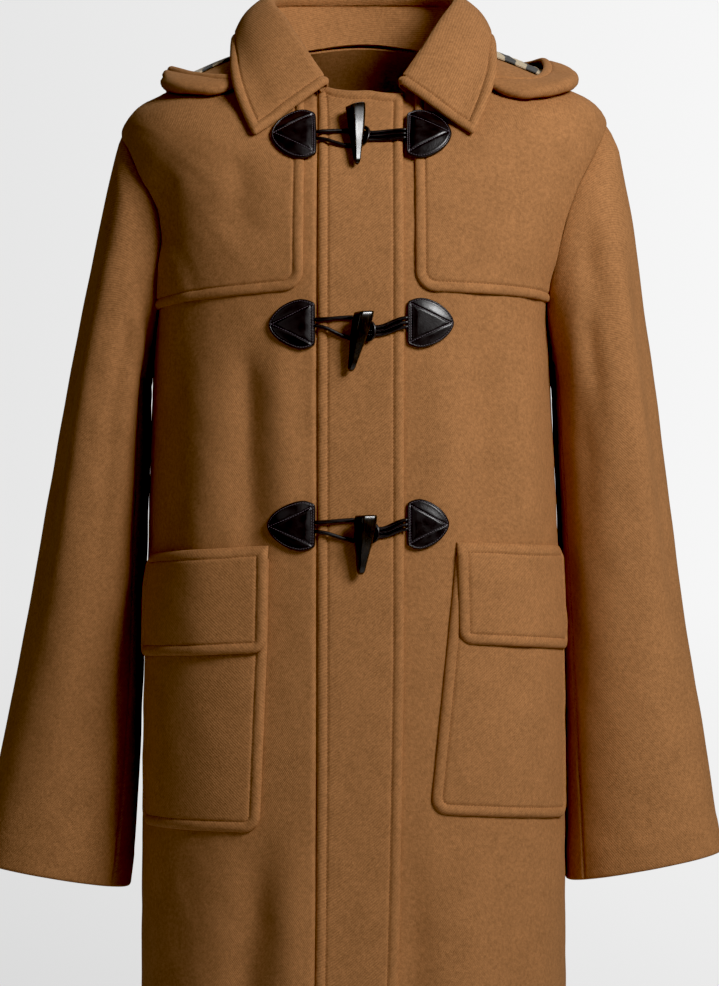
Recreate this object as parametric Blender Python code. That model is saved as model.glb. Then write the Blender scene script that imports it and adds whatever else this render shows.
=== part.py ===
"""A knee-length duffle coat in thick camel wool, in the hollow form that it has when it is worn.

The body of the coat is one surface, the skin, worked out from a short table of level rings between the
neckline and the hem. Every panel is a patch of that skin: `around` runs from the front centre (0) over a
side (1) to the back centre (2), negative towards the right side of the wearer, and `down` runs from the
neckline (0) to the hem (the last ring). `lift` is the height of a point above the skin, along its normal.
Pieces that lie on a panel are patches of the same skin with more lift. All sizes here are in millimetres.
+X is the left of the wearer, +Y is the back, +Z is up, and the origin lies between the shoulders.
"""

import math

import bpy
import numpy as np

# ---------------------------------------------------------------- driving sizes, in millimetres
METRE = 0.001                # one millimetre, in Blender's metres
CLOTH = 2.4                  # thickness of the wool cloth
FOLDED_CLOTH = 3.0           # two layers pressed together at a placket, pocket or collar
LINING_CLOTH = 1.2           # thickness of the hood's lining
LINING_EASE = 0.6            # how loosely the lining lies in the hood
GAP = 0.3                    # clearance at a seam and between layers
PLACKET_LEFT_X = -37.4       # seam of the placket on the right front
PLACKET_SEAM_LOW_X = -40.8    # and it leans out to this at the hem
TAB_THICK = 2.6
TOGGLE_LENGTH = 52.0
TOGGLE_HALF = 9.6            # half the width of the toggle's cut end
LOOP_RADIUS = 2.0            # leather loop cord
CORD_RADIUS = 1.9            # leather cord of the toggle
CENTRE_SHIFT = 3.5           # the neck's middle lies this far towards the left of the wearer

# lifts of the layers above the skin
PANEL_TOP = CLOTH
SECOND_LOW = PANEL_TOP + GAP
YOKE_TOP = SECOND_LOW + CLOTH
PLACKET_TOP = SECOND_LOW + FOLDED_CLOTH
POCKET_TOP = SECOND_LOW + FOLDED_CLOTH
FLAP_LOW = POCKET_TOP + GAP
PLACKET_RISE = SECOND_LOW + 0.3
PLACKET_RISE_WIDTH = 55.0    # the right front falls back to its own level over this width
SLEEVE_LIFT = 3.3            # the sleeve's outer face at the armhole
SEAM_SETBACK = 0.5           # body panels end this far short of the armhole seam
LEATHER_SEAT = 0.8           # clearance of a stiff tab over the curved cloth

# ---------------------------------------------------------------- the body, ring by ring
RING_COLUMNS = ("side_right_z", "side_left_z", "front_z", "back_z",
                "half_right", "half_left", "front_y", "back_y", "squareness")
RINGS = (
    (2, 2, -43, 14, 77, 77, -92, 62, 2.0),                 # neckline
    (-27, -25, -84, -24, 148, 152, -112, 98, 2.1),         # half way along the shoulder
    (-66, -59, -122, -70, 211, 220, -132, 121, 2.35),      # shoulder tip
    (-150, -148, -178, -150, 194, 197, -145, 130, 2.6),    # armhole
    (-233, -225, -235, -228, 186, 172, -150, 131, 2.7),    # lower edge of the yokes
    (-290, -290, -292, -290, 187, 172, -152, 129, 2.7),    # underarm
    (-375, -375, -375, -375, 190, 176, -154, 128, 2.7),
    (-463, -463, -463, -463, 192, 180, -157, 129, 2.7),    # pocket flaps
    (-600, -600, -600, -600, 195, 185, -161, 134, 2.7),
    (-750, -750, -750, -750, 197, 186, -165, 141, 2.65),   # below the pockets
    (-880, -880, -880, -880, 197.5, 187, -168, 147, 2.6),
    (-1000, -1000, -1000, -1000, 199, 189, -171, 152, 2.6),  # hem
)
TIP_RING = 2
# corners of every piece that meets at the armhole, as places down the rings
ARMHOLE_STEPS = (2.0, 2.08, 2.3, 2.7, 3.2, 3.65, 4.05, 4.5, 4.8, 5.0)
YOKE_TOP_STEP = 0.07         # the yoke starts a little below the neckline, clear of the collar's stand
YOKE_LOW_STEP = 4.05
UNDERARM_RING = 5
UNDERARM_SHARE = 0.3         # the columns have gone this far towards the pocket's edges at the underarm
HEM_EVENING = 0.4            # and this far back to an even spread at the hem
HEM_RING = len(RINGS) - 1
# how far the top edge dips at the first columns of each front, which keeps the placket's top straight
RIGHT_NECK_STEPS = (0.06,)
LEFT_NECK_STEPS = (0.06, 0.0, 0.23)
BACK_YOKE_DIP = 0.4          # the seam of the back's yoke hangs this much lower at the centre back
BACK_YOKE_FADE = 6.5         # and the rows below it are level again from this place on
BACK_COLUMNS = 19

# how far the armhole seam lies in from the side, as a share of a quarter turn
ARMHOLE_COLUMNS = ("down", "front", "back")
ARMHOLE = (
    (2.0, 0.0, 0.0),
    (2.15, 0.09, 0.08),
    (2.5, 0.2, 0.17),
    (3.0, 0.25, 0.22),
    (3.5, 0.25, 0.23),
    (4.0, 0.22, 0.2),
    (4.5, 0.15, 0.13),
    (5.0, 0.0, 0.0),
)

# main folds of the body: troughs have a negative height
FOLD_COLUMNS = ("face", "top_x", "top_z", "low_x", "low_z", "height", "half_width")
FRONT, BACK = -1, 1
FOLDS = (
    (FRONT, -168, -260, -176, -520, -5.0, 16),
    (FRONT, -132, -250, -138, -560, 3.5, 20),
    (FRONT, -97, -250, -93, -470, -4.5, 13),
    (FRONT, -66, -250, -60, -440, 3.0, 14),
    (FRONT, 72, -250, 76, -470, 3.0, 18),
    (FRONT, 124, -230, 118, -470, -5.0, 18),
    (FRONT, 158, -250, 160, -480, 3.5, 14),
    (FRONT, -84, -680, -120, -1010, -9.0, 22),
    (FRONT, -58, -690, -62, -1010, 6.0, 20),
    (FRONT, 62, -700, 66, -1010, -5.0, 20),
    (FRONT, 118, -700, 130, -1010, 5.0, 30),
    (FRONT, -176, -100, -170, -200, -5.0, 14),
    (FRONT, -108, -90, -102, -190, -3.5, 16),
    (BACK, -96, -330, -124, -1010, -9.0, 26),
    (BACK, -40, -360, -48, -1010, 7.0, 30),
    (BACK, 44, -340, 60, -1010, -8.0, 26),
    (BACK, 104, -380, 128, -1010, 6.0, 30),
)

# ---------------------------------------------------------------- the sleeves, ring by ring
SLEEVE_COLUMNS = ("outer_x", "outer_z", "inner_x", "inner_z", "front_y", "back_y", "bow")
RIGHT_SLEEVE = (
    (-222, -92, -194.4, -299, -78, 84, 11),
    (-235, -150, -195.0, -308, -80, 88, 6),
    (-250, -222, -195.4, -328, -80, 90, 2),
    (-264, -292, -195.6, -362, -77, 90, 0),
    (-283, -400, -198.2, -447, -71, 84, 0),
    (-303, -512, -201.2, -547, -67, 74, 0),
    (-324, -622, -205, -650, -64, 62, 0),
    (-340, -702, -209, -726, -63, 53, 0),
    (-348, -739, -213, -762, -62, 49, 0),
)
LEFT_SLEEVE = (
    (236, -86, 178.5, -299, -78, 84, 11),
    (248, -148, 179.6, -308, -80, 88, 6),
    (258, -222, 180.6, -328, -80, 90, 2),
    (268, -292, 182, -362, -77, 90, 0),
    (282, -400, 185.8, -447, -71, 84, 0),
    (296, -510, 189.4, -545, -67, 74, 0),
    (314, -620, 191, -648, -64, 62, 0),
    (325, -697, 191.6, -720, -63, 53, 0),
    (331, -730, 192, -756, -62, 49, 0),
)
CUFF = len(RIGHT_SLEEVE)     # place of the cuff, counted in rows from the armhole
SLEEVE_SQUARENESS = 2.25
SLEEVE_SEAM_EASE = 0.65      # degrees left free on each side of a sleeve seam
SLEEVE_SEAM_DOWN = 4.8       # the two sleeve seams start at this place of the armhole, front and back
SEAM_DRIFT = -10.0           # degrees that the front seam turns towards the front, down to the cuff
SLEEVE_FOLD_COLUMNS = ("angle", "start", "end", "height", "half_width")
SLEEVE_FOLDS = (
    (62, 0.6, 6.5, 4.0, 13),
    (36, 2.0, 7.5, -4.0, 15),
    (105, 1.5, 6.0, -3.0, 14),
    (300, 1.0, 7.0, -5.0, 18),
    (262, 0.8, 6.0, 4.0, 16),
    (330, 2.0, 8.0, 3.0, 16),
)

# ---------------------------------------------------------------- collar, from the front end to the nape
# the roll is the folded top line, the edge is the outer edge of the fall; x is for the right side
COLLAR_COLUMNS = ("around", "roll_x", "roll_y", "roll_z", "edge_x", "edge_y", "edge_z", "puff")
COLLAR = (
    (0.22, -31, -101, -37, -97, -123, -87, 2),
    (0.34, -40, -92, -23, -107, -109, -68, 4),
    (0.5, -53, -74, -2, -116, -88, -42, 5),
    (0.75, -70, -42, 28, -120, -54, -15, 6),
    (1.0, -84, -2, 52, -120, -8, 11, 6),
    (1.3, -74, 36, 62, -112, 50, 16, 6),
    (1.65, -42, 66, 67, -66, 92, 14, 5),
    (2.0, 0, 74, 68, 0, 106, 12, 5),
)
COLLAR_FOLD_RADIUS = 4.2
COLLAR_TURN_IN = 5.0         # how far the fall's cloth turns in below the roll
COLLAR_LIFT = 10.8           # middle of the fall's cloth above the skin, over the yokes
COLLAR_OVER_HOOD = 17.5      # and over the lower layer of the hood

# ---------------------------------------------------------------- hood, from its front end to the back
# the fold is where the cloth turns up again, given on the skin; the rim is the edge of the opening
# standoff is the lower layer's extra height, turn is half the fold's thickness, puff rounds the upper layer
HOOD_COLUMNS = ("neck_around", "fold_around", "fold_down", "rim_x", "rim_y", "rim_z",
                "standoff", "turn", "puff")
RIGHT_HOOD = (
    (0.7, 0.62, 0.62, -98, -72, -25, 1.0, 1.5, 1),
    (0.76, 0.64, 1.15, -117, -68, -24.5, 1.6, 1.8, 2),
    (0.82, 0.72, 1.36, -133, -57, -23, 2.0, 3.2, 3),
    (0.88, 0.8, 1.42, -150, -38, -19, 2.0, 4.2, 4),
    (0.94, 0.87, 1.4, -162, -20, -14, 1.5, 4.2, 4),
    (1.0, 0.96, 1.34, -171, 4, -9, 3.0, 4.2, 4),
    (1.12, 1.12, 1.34, -165, 38, -9, 7.0, 4.5, 5),
    (1.3, 1.32, 1.95, -148, 84, -6, 10.0, 6.5, 8),
    (1.52, 1.54, 3.1, -112, 124, 1, 8.5, 6.5, 18),
    (1.76, 1.76, 4.1, -58, 150, 8, 5.0, 6.5, 26),
    (2.0, 2.0, 4.55, 0, 157, 11, 4.5, 6.5, 28),
)
LEFT_HOOD = (
    (0.7, 0.62, 0.75, -98, -73, -23, 1.0, 1.5, 1),
    (0.76, 0.64, 1.4, -117, -68, -24.5, 1.6, 1.8, 2),
    (0.82, 0.71, 1.56, -133, -66, -26.5, 2.0, 3.2, 3),
    (0.88, 0.79, 1.58, -150, -60, -27, 2.2, 4.8, 4),
    (0.94, 0.875, 1.52, -163, -30, -17, 2.0, 5.2, 5),
    (1.0, 0.97, 1.44, -163, 5, -2, 5.0, 5.4, 5),
    (1.12, 1.1, 1.41, -148, 42, -2, 10.5, 5.6, 6),
    (1.3, 1.3, 2.0, -128, 86, 2, 12.0, 6.5, 9),
    (1.52, 1.54, 3.2, -104, 126, 7, 8.5, 6.5, 20),
    (1.76, 1.76, 4.15, -58, 150, 10, 5.0, 6.5, 26),
    (2.0, 2.0, 4.55, 0, 157, 11, 4.5, 6.5, 28),
)
HOOD = {-1: RIGHT_HOOD, 1: LEFT_HOOD}
HOOD_SECTIONS = 17           # sections of each half
HOOD_LIFT = 7.6              # middle of the hood's cloth above the skin, at its neck seam
FACING = 26                  # the hood's own cloth shows this far inside the rim

# ---------------------------------------------------------------- the lines that divide each front
# upright lines, as x at the neckline, the yoke's lower edge, the flap's edges, just under it, the pocket's
# foot and the hem
LINE_COLUMNS = ("neckline", "yoke", "flap_top", "flap_low", "under_flap", "pocket_low", "hem")
RIGHT_LINES = (
    (-37.6, -37.6, -37.6, -37.6, -37.6, -38.5, -41.0),     # seam with the placket
    (-49, -49, -56, -57, -57, -60, -62),                   # upright edge of the yoke
    (-58, -69, -79, -80.5, -81, -87, -92),                 # inner edge of pocket and flap
)
LEFT_LINES = (
    (-24, -24, -24, -24, -24, -24, -26),                   # hidden edge under the placket
    (8, 8, 8, 8, 8, 6, 4),                                 # middle of the placket
    (39, 39, 39, 39, 39, 37, 28),                          # free edge of the placket
    (49, 49, 58, 58, 56, 50, 45),                          # upright edge of the yoke
    (58, 69, 84, 86, 77, 63, 66),                          # inner edge of pocket and flap
)
# level lines, as z at the inner end and at the side
RIGHT_ROWS = {"flap_top": (-446, -458), "pocket_top": (-458, -470), "flap_low": (-540, -551),
              "under_flap": (-552, -563), "pocket_low": (-700, -701)}
LEFT_ROWS = {"flap_top": (-443, -450), "pocket_top": (-455, -462), "flap_low": (-529, -545),
             "under_flap": (-541, -557), "pocket_low": (-676, -697)}
YOKE_LOW_Z = -225
POCKET_SIDE = 0.8            # outer edge of pocket and flap, as a share of the quarter turn
POCKET_PUFF = 4.0            # how far the middle of a pocket stands off
# how far a corner moves in along its cell's diagonal, which rounds it
YOKE_CORNER = 0.32
POCKET_CORNER = 0.3
FLAP_CORNER = 0.25
FLAP_OVERHANG = 1.2          # the flap is this much wider than its pocket
FREE_CELL = 0.12             # width of the first and last cells of a pocket, as a share of it

# ---------------------------------------------------------------- fastenings
# seat is the toggle's clearance over its cords, less than nothing where the chest slopes away behind it
FASTENING_COLUMNS = ("tab_z", "toggle_x", "toggle_top_z", "lean", "loop_z", "seat", "left_reach")
FASTENINGS = (
    (-88, -3, -64, 1, -86, -0.8, 1.0),
    (-254, 2, -244, -12, -257, 0.15, 1.0),
    (-431, 5, -422, -5, -435, 0.15, 0.88),
)
# outline of a tab: half its height at each distance from its straight edge
TAB_COLUMNS = ("reach", "half_height")
TAB_OUTLINE = (
    (0.0, 17.5),
    (1.2, 19.6),
    (12.3, 22.2),
    (20.0, 21.0),
    (27.0, 17.5),
    (35.0, 11.3),
    (39.0, 5.5),
    (40.8, 1.0),
)
RIGHT_TAB_EDGE = -38.5       # straight edges of the tabs
LEFT_TAB_EDGE = 41.5

# ---------------------------------------------------------------- materials
WOOL = ("camel_wool", (0.31, 0.15, 0.055, 1), 0.95)
LEATHER = ("brown_leather", (0.012, 0.008, 0.007, 1), 0.4)
HORN = ("dark_horn", (0.016, 0.012, 0.009, 1), 0.35)
LINING = ("striped_lining", (0.12, 0.11, 0.1, 1), 0.85)


# ================================================================ small tools
def columns(names, rows):
    """A table as one array of numbers for each named column."""
    return {name: np.array([row[i] for row in rows], float) for i, name in enumerate(names)}


def record(names, row):
    """One row of a table, by column name."""
    return dict(zip(names, row))


def smooth(values, at):
    """Values of a table column between its rows, on a smooth curve through them."""
    values = np.asarray(values, float)
    last = len(values) - 1
    at = np.clip(np.asarray(at, float), 0, last)
    low = np.minimum(at.astype(int), last - 1)
    t = at - low
    before = values[np.maximum(low - 1, 0)]
    start = values[low]
    end = values[low + 1]
    after = values[np.minimum(low + 2, last)]
    slope_start = np.where(low > 0, (end - before) / 2, end - start)
    slope_end = np.where(low + 1 < last, (after - start) / 2, end - start)
    return ((2 * t**3 - 3 * t**2 + 1) * start + (t**3 - 2 * t**2 + t) * slope_start
            + (3 * t**2 - 2 * t**3) * end + (t**3 - t**2) * slope_end)


def ease(t):
    """0 to 1 with level ends."""
    t = np.clip(t, 0, 1)
    return t * t * (3 - 2 * t)


def unit(vectors):
    return vectors / np.maximum(np.linalg.norm(vectors, axis=-1, keepdims=True), 1e-9)


def bell(distance, half_width):
    return np.exp(-(distance / half_width) ** 2)


# ================================================================ the skin
RING = columns(RING_COLUMNS, RINGS)
ARM = columns(ARMHOLE_COLUMNS, ARMHOLE)


def bare_skin(around, down):
    """A point of the body with no folds and no lift."""
    angle = around * math.pi / 2
    sine = np.sin(angle)
    cosine = np.cos(angle)
    right = sine < 0
    half = np.where(right, smooth(RING["half_right"], down), smooth(RING["half_left"], down))
    depth = np.where(cosine > 0, -smooth(RING["front_y"], down), smooth(RING["back_y"], down))
    power = smooth(RING["squareness"], down)
    reach = ((np.abs(sine) / half) ** power + (np.abs(cosine) / depth) ** power) ** (-1 / power)
    side_z = np.where(right, smooth(RING["side_right_z"], down), smooth(RING["side_left_z"], down))
    end_z = np.where(cosine > 0, smooth(RING["front_z"], down), smooth(RING["back_z"], down))
    height = side_z + (end_z - side_z) * cosine**2
    shift = CENTRE_SHIFT * np.clip(1 - down / 2, 0, 1)
    return np.stack([reach * sine + shift, -reach * cosine, height], axis=-1)


def fold_height(points):
    """How far the folds raise or sink the cloth at a point of the bare skin."""
    total = np.zeros(points.shape[:-1])
    for row in FOLDS:
        fold = record(FOLD_COLUMNS, row)
        share = (fold["top_z"] - points[..., 2]) / (fold["top_z"] - fold["low_z"])
        line_x = fold["top_x"] + (fold["low_x"] - fold["top_x"]) * share
        runs_off_hem = fold["low_z"] < RINGS[HEM_RING][0]
        end = 1.0 if runs_off_hem else ease((1 - share) / 0.3)
        length = ease(share / 0.3) * end
        width = fold["half_width"] * (0.75 + 0.5 * np.clip(share, 0, 1))
        on_face = ease(points[..., 1] * fold["face"] / 45)
        total += fold["height"] * bell(points[..., 0] - line_x, width) * length * on_face
    return total


def normal_of(surface, around, down):
    """Outward direction of a surface of `around` and `down`."""
    step = 0.004
    along = surface(around + step, down) - surface(around - step, down)
    below = surface(around, np.minimum(down + step, HEM_RING)) - surface(around, np.maximum(down - step, 0))
    return unit(np.cross(below, along))


def creased_skin(around, down):
    flat = bare_skin(around, down)
    return flat + normal_of(bare_skin, around, down) * fold_height(flat)[..., None]


def skin(around, down, lift=0.0):
    """A point of the body, `lift` above its skin."""
    around, down, lift = np.broadcast_arrays(around, down, lift)
    around = around.astype(float)
    down = down.astype(float)
    return creased_skin(around, down) + normal_of(creased_skin, around, down) * lift[..., None]


def solve(goal, value_of, low, high):
    """The argument between low and high at which a falling or rising value meets its goal."""
    low = np.zeros_like(goal) + low
    high = np.zeros_like(goal) + high
    rising = value_of(high) > value_of(low)
    for _ in range(34):
        middle = (low + high) / 2
        under = (value_of(middle) < goal) == rising
        low = np.where(under, middle, low)
        high = np.where(under, high, middle)
    return (low + high) / 2


def around_at(x, down):
    """Where the front of the skin has this x."""
    x, down = np.broadcast_arrays(np.asarray(x, float), np.asarray(down, float))
    return solve(x, lambda a: bare_skin(a, down)[..., 0], -0.98, 0.98)


def on_front(x, z):
    """Where the front of the skin has this x and z."""
    x, z = np.broadcast_arrays(np.asarray(x, float), np.asarray(z, float))
    down = np.full(x.shape, 4.0)
    for _ in range(8):
        around = around_at(x, down)
        down = solve(z, lambda d: bare_skin(around, d)[..., 2], 0.0, float(HEM_RING))
    return around_at(x, down), down


def armhole_inset(down, face):
    """How far the armhole seam lies in from the side."""
    return np.interp(down, ARM["down"], ARM["front" if face == FRONT else "back"])


def setback(down):
    """The share of a quarter turn that makes half a seam gap, and more along the armhole."""
    half = smooth(RING["half_right"], down)
    inset = armhole_inset(down, FRONT)
    width = GAP / 2 + 0.05 + np.where(inset > 0, SEAM_SETBACK, 0)
    return width / (half * math.pi / 2)


# ================================================================ making meshes
def new_object(name, points, faces, material):
    mesh = bpy.data.meshes.new(name)
    mesh.from_pydata([tuple(float(c) * METRE for c in p) for p in points], [], faces)
    mesh.update()
    body = bpy.data.objects.new(name, mesh)
    bpy.context.collection.objects.link(body)
    mesh.materials.append(material)
    mesh.shade_smooth()
    mesh.set_sharp_from_angle(angle=math.radians(40))


def material_of(finish):
    name, colour, roughness = finish
    if name in bpy.data.materials:
        return bpy.data.materials[name]
    material = bpy.data.materials.new(name)
    material.use_nodes = True
    shader = material.node_tree.nodes["Principled BSDF"]
    shader.inputs["Base Color"].default_value = colour
    shader.inputs["Roughness"].default_value = roughness
    shader.inputs["Metallic"].default_value = 0.0
    return material


def wall(name, low, high, finish):
    """A closed sheet between two grids of points, low facing in and high facing out."""
    rows, cols = high.shape[:2]
    count = rows * cols
    points = np.concatenate([high.reshape(-1, 3), low.reshape(-1, 3)])
    faces = []

    def at(row, col, layer=0):
        return layer * count + row * cols + col

    for r in range(rows - 1):
        for c in range(cols - 1):
            a, b = at(r, c), at(r, c + 1)
            d, e = at(r + 1, c), at(r + 1, c + 1)
            faces += [(a, d, e), (a, e, b)]
            faces += [(a + count, e + count, d + count), (a + count, b + count, e + count)]
    ring = [(0, c) for c in range(cols)] + [(r, cols - 1) for r in range(1, rows)]
    ring += [(rows - 1, c) for c in range(cols - 2, -1, -1)] + [(r, 0) for r in range(rows - 2, 0, -1)]
    for i, (r, c) in enumerate(ring):
        nr, nc = ring[(i + 1) % len(ring)]
        a, b = at(r, c), at(nr, nc)
        faces += [(a, b, b + count), (a, b + count, a + count)]
    if signed_volume(points, faces) < 0:
        faces = [face[::-1] for face in faces]
    new_object(name, points, faces, material_of(finish))


def signed_volume(points, faces):
    corners = points[np.array(faces)]
    return float(np.einsum("ij,ij->i", corners[:, 0], np.cross(corners[:, 1], corners[:, 2])).sum())


def grid_normals(grid):
    """Outward directions of a grid of points, from its neighbours."""
    across = np.gradient(grid, axis=1)
    along = np.gradient(grid, axis=0)
    return unit(np.cross(along, across))


def sheet_on_skin(name, around, down, low, high, finish=WOOL):
    return wall(name, skin(around, down, low), skin(around, down, high), finish)


def tube(name, path, radius, finish, sides=8):
    """A cord along a list of points, with filled ends."""
    path = np.asarray(path, float)
    tangents = unit(np.gradient(path, axis=0))
    side = unit(np.cross(tangents[0], (0.0, 1.0, 0.0)))
    points = []
    for centre, tangent in zip(path, tangents):
        side = unit(side - tangent * np.dot(side, tangent))
        other = np.cross(tangent, side)
        for k in range(sides):
            turn = 2 * math.pi * k / sides
            points.append(centre + radius * (side * math.cos(turn) + other * math.sin(turn)))
    lofted(name, points, sides, finish)


def lofted(name, points, sides, finish):
    """A closed body through rings of points, its first and last ring filled flat."""
    points = np.array(points)
    rings = len(points) // sides
    faces = []
    for r in range(rings - 1):
        for k in range(sides):
            a, b = r * sides + k, r * sides + (k + 1) % sides
            faces += [(a, b, b + sides), (a, b + sides, a + sides)]
    last = (rings - 1) * sides
    for k in range(1, sides - 1):
        faces += [(0, k + 1, k), (last, last + k, last + k + 1)]
    if signed_volume(points, faces) < 0:
        faces = [face[::-1] for face in faces]
    new_object(name, points, faces, material_of(finish))


def curve_through(controls, count):
    """Evenly counted points on a smooth curve through control points."""
    controls = np.asarray(controls, float)
    at = np.linspace(0, len(controls) - 1, count)
    return np.stack([smooth(controls[:, k], at) for k in range(3)], axis=-1)


# ================================================================ the grid of each front
def placket_seam_x(z):
    """x of the seam between the right front and the placket."""
    return PLACKET_LEFT_X + (PLACKET_SEAM_LOW_X - PLACKET_LEFT_X) * ease((-600 - z) / 400)


def near_placket_rise(points):
    """The right front climbs to the placket's level along its seam, and what lies on it climbs too."""
    return PLACKET_RISE * ease(1 - np.abs(points[..., 0] - PLACKET_LEFT_X) / PLACKET_RISE_WIDTH)


class FrontGrid:
    """Rows and columns that a front shares with its yoke, pocket, flap and placket."""

    def __init__(self, side):
        self.side = side
        self.lines = RIGHT_LINES if side < 0 else LEFT_LINES
        self.levels = RIGHT_ROWS if side < 0 else LEFT_ROWS
        self.row = {}
        self.rows = []
        self.spread = len(self.lines) + 8          # columns up to the side seam
        self.first_spread = len(self.lines) - 1
        self.build()

    def add_row(self, down, line_name, name=None, spread_out=0.0):
        """One row: how far down it lies at each column, and which x its dividing lines have there."""
        share = np.linspace(0, 1, self.spread - self.first_spread)
        down = np.asarray(down, float) * np.ones(self.spread)
        x = self.lines_x(line_name)
        around = np.empty(self.spread)
        fixed = self.first_spread + 1
        if self.side < 0:
            x[0] = placket_seam_x(bare_skin(0.0, down[0])[2]) - GAP
        around[:fixed] = around_at(x, down[:fixed])
        edge = self.side * (1 - armhole_inset(down[-1], FRONT) - setback(down[-1]))
        evenly = around[fixed - 1] + (edge - around[fixed - 1]) * share
        pocket_edge = self.side * POCKET_SIDE
        to_pocket = np.concatenate([np.linspace(0, 1, len(share) - 1), [1.0]])
        to_pocket[1] = FREE_CELL
        to_pocket[-3] = 1 - FREE_CELL
        with_pocket = around[fixed - 1] + (pocket_edge - around[fixed - 1]) * to_pocket
        with_pocket[-1] = edge
        around[fixed - 1:] = evenly + (with_pocket - evenly) * spread_out
        if name:
            self.row[name] = len(self.rows)
        self.rows.append((around, down))

    def lines_x(self, place):
        """x of each dividing line at a named place, or between two of them: (first, second, share)."""
        table = columns(LINE_COLUMNS, self.lines)
        if isinstance(place, str):
            return table[place]
        first, second, share = place
        return table[first] + (table[second] - table[first]) * share

    def level(self, name, line_name):
        """How far down a named level line lies at each column."""
        inner_z, outer_z = self.levels[name]
        share = np.linspace(0, 1, self.spread)
        goal = inner_z + (outer_z - inner_z) * share
        x = self.lines_x(line_name)
        down = np.full(self.spread, 7.0)
        fixed = self.first_spread + 1
        around = np.empty(self.spread)
        for _ in range(3):
            around[:fixed] = around_at(x, down[:fixed])
            around[fixed:] = np.linspace(around[fixed - 1], self.side, self.spread - fixed + 1)[1:]
            down = solve(goal, lambda d: bare_skin(around, d)[..., 2], 4.0, float(HEM_RING))
        return down

    def yoke_low(self):
        """The yoke's lower edge: level z at the centre, and a fixed place of the armhole at the side."""
        down = np.full(self.spread, YOKE_LOW_STEP)
        x = self.lines_x("yoke")
        goal = np.full(len(x), float(YOKE_LOW_Z))
        near = solve(goal, lambda d: bare_skin(around_at(x, d), d)[..., 2], 2.0, 6.0)
        down[:len(x)] = near
        down[len(x) - 1:] = np.linspace(near[-1], YOKE_LOW_STEP, self.spread - len(x) + 1)
        return down

    def build(self):
        low = self.yoke_low()
        steps = [0.0, 0.4, 0.85, 1.4] + [step for step in ARMHOLE_STEPS if step <= YOKE_LOW_STEP]
        for step in steps:
            share = step / YOKE_LOW_STEP
            name = {0.0: "neckline", YOKE_LOW_STEP: "yoke_low"}.get(step)
            down = low * share
            if step == 0:
                dips = RIGHT_NECK_STEPS if self.side < 0 else LEFT_NECK_STEPS
                down[:len(dips)] = dips
            self.add_row(down, ("neckline", "yoke", min(1.0, share * 1.6)), name)
        for step in [step for step in ARMHOLE_STEPS if step > YOKE_LOW_STEP]:
            share = (step - YOKE_LOW_STEP) / (UNDERARM_RING - YOKE_LOW_STEP)
            down = low + (UNDERARM_RING - low) * share
            at_underarm = share * UNDERARM_SHARE
            self.add_row(down, ("yoke", "flap_top", at_underarm), spread_out=at_underarm)
        last_cell = 1 - FREE_CELL
        hem = np.full(self.spread, float(HEM_RING))
        self.between("yoke", "flap_top", self.level("flap_top", "flap_top"), (0.3, 0.6, 1.0))
        self.add_row(self.level("pocket_top", "flap_top"), "flap_top", "pocket_top", 1.0)
        self.between("flap_top", "flap_low", self.level("flap_low", "flap_low"), (0.5, last_cell, 1.0))
        self.add_row(self.level("under_flap", "under_flap"), "under_flap", "under_flap", 1.0)
        self.between("under_flap", "pocket_low", self.level("pocket_low", "pocket_low"),
                     (0.33, 0.66, last_cell, 1.0))
        self.between("pocket_low", "hem", hem, (FREE_CELL, 0.4, 0.7, 1.0))
        self.around = np.array([around for around, _ in self.rows])
        self.down = np.array([down for _, down in self.rows])
        bare = bare_skin(self.around, self.down)
        self.rise = near_placket_rise(bare) if self.side < 0 else np.zeros(self.around.shape)

    def between(self, first, second, goal, shares):
        """Rows from the last one down to a goal row, which gets the name of the second place."""
        start = self.rows[-1][1]
        for share in shares:
            spread_out = 1.0
            if second == "flap_top":
                spread_out = UNDERARM_SHARE + (1 - UNDERARM_SHARE) * share
            if second == "hem":
                spread_out = 1 - HEM_EVENING * share
            name = second if share == 1 else None
            self.add_row(start + (goal - start) * share, (first, second, share), name, spread_out)

    def block(self, first_row, last_row, first_col, last_col):
        """Part of the grid, as around, down and the rise of the right front."""
        rows = slice(self.row[first_row], self.row[last_row] + 1)
        cols = slice(first_col, last_col)
        return self.around[rows, cols], self.down[rows, cols], self.rise[rows, cols]

    @property
    def pocket_cols(self):
        return self.first_spread, self.spread - 1


def points_at(block, lift):
    around, down, rise = block
    return skin(around, down, rise + lift)


def round_corner(low, high, row, col, share):
    """Moves a grid's corner point in along its cell's diagonal, which rounds the corner."""
    row_step = -1 if row else 1
    col_step = -1 if col else 1
    row_at = row if row >= 0 else len(low) + row
    col_at = col if col >= 0 else low.shape[1] + col
    for grid in (low, high):
        corner = grid[row_at, col_at].copy()
        opposite = grid[row_at + row_step, col_at + col_step]
        grid[row_at, col_at] = corner + (opposite - corner) * share


# ================================================================ body panels
def make_front(name, grid):
    block = grid.block("neckline", "hem", 0, grid.spread)
    wall(name, points_at(block, 0.0), points_at(block, CLOTH), WOOL)


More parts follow.
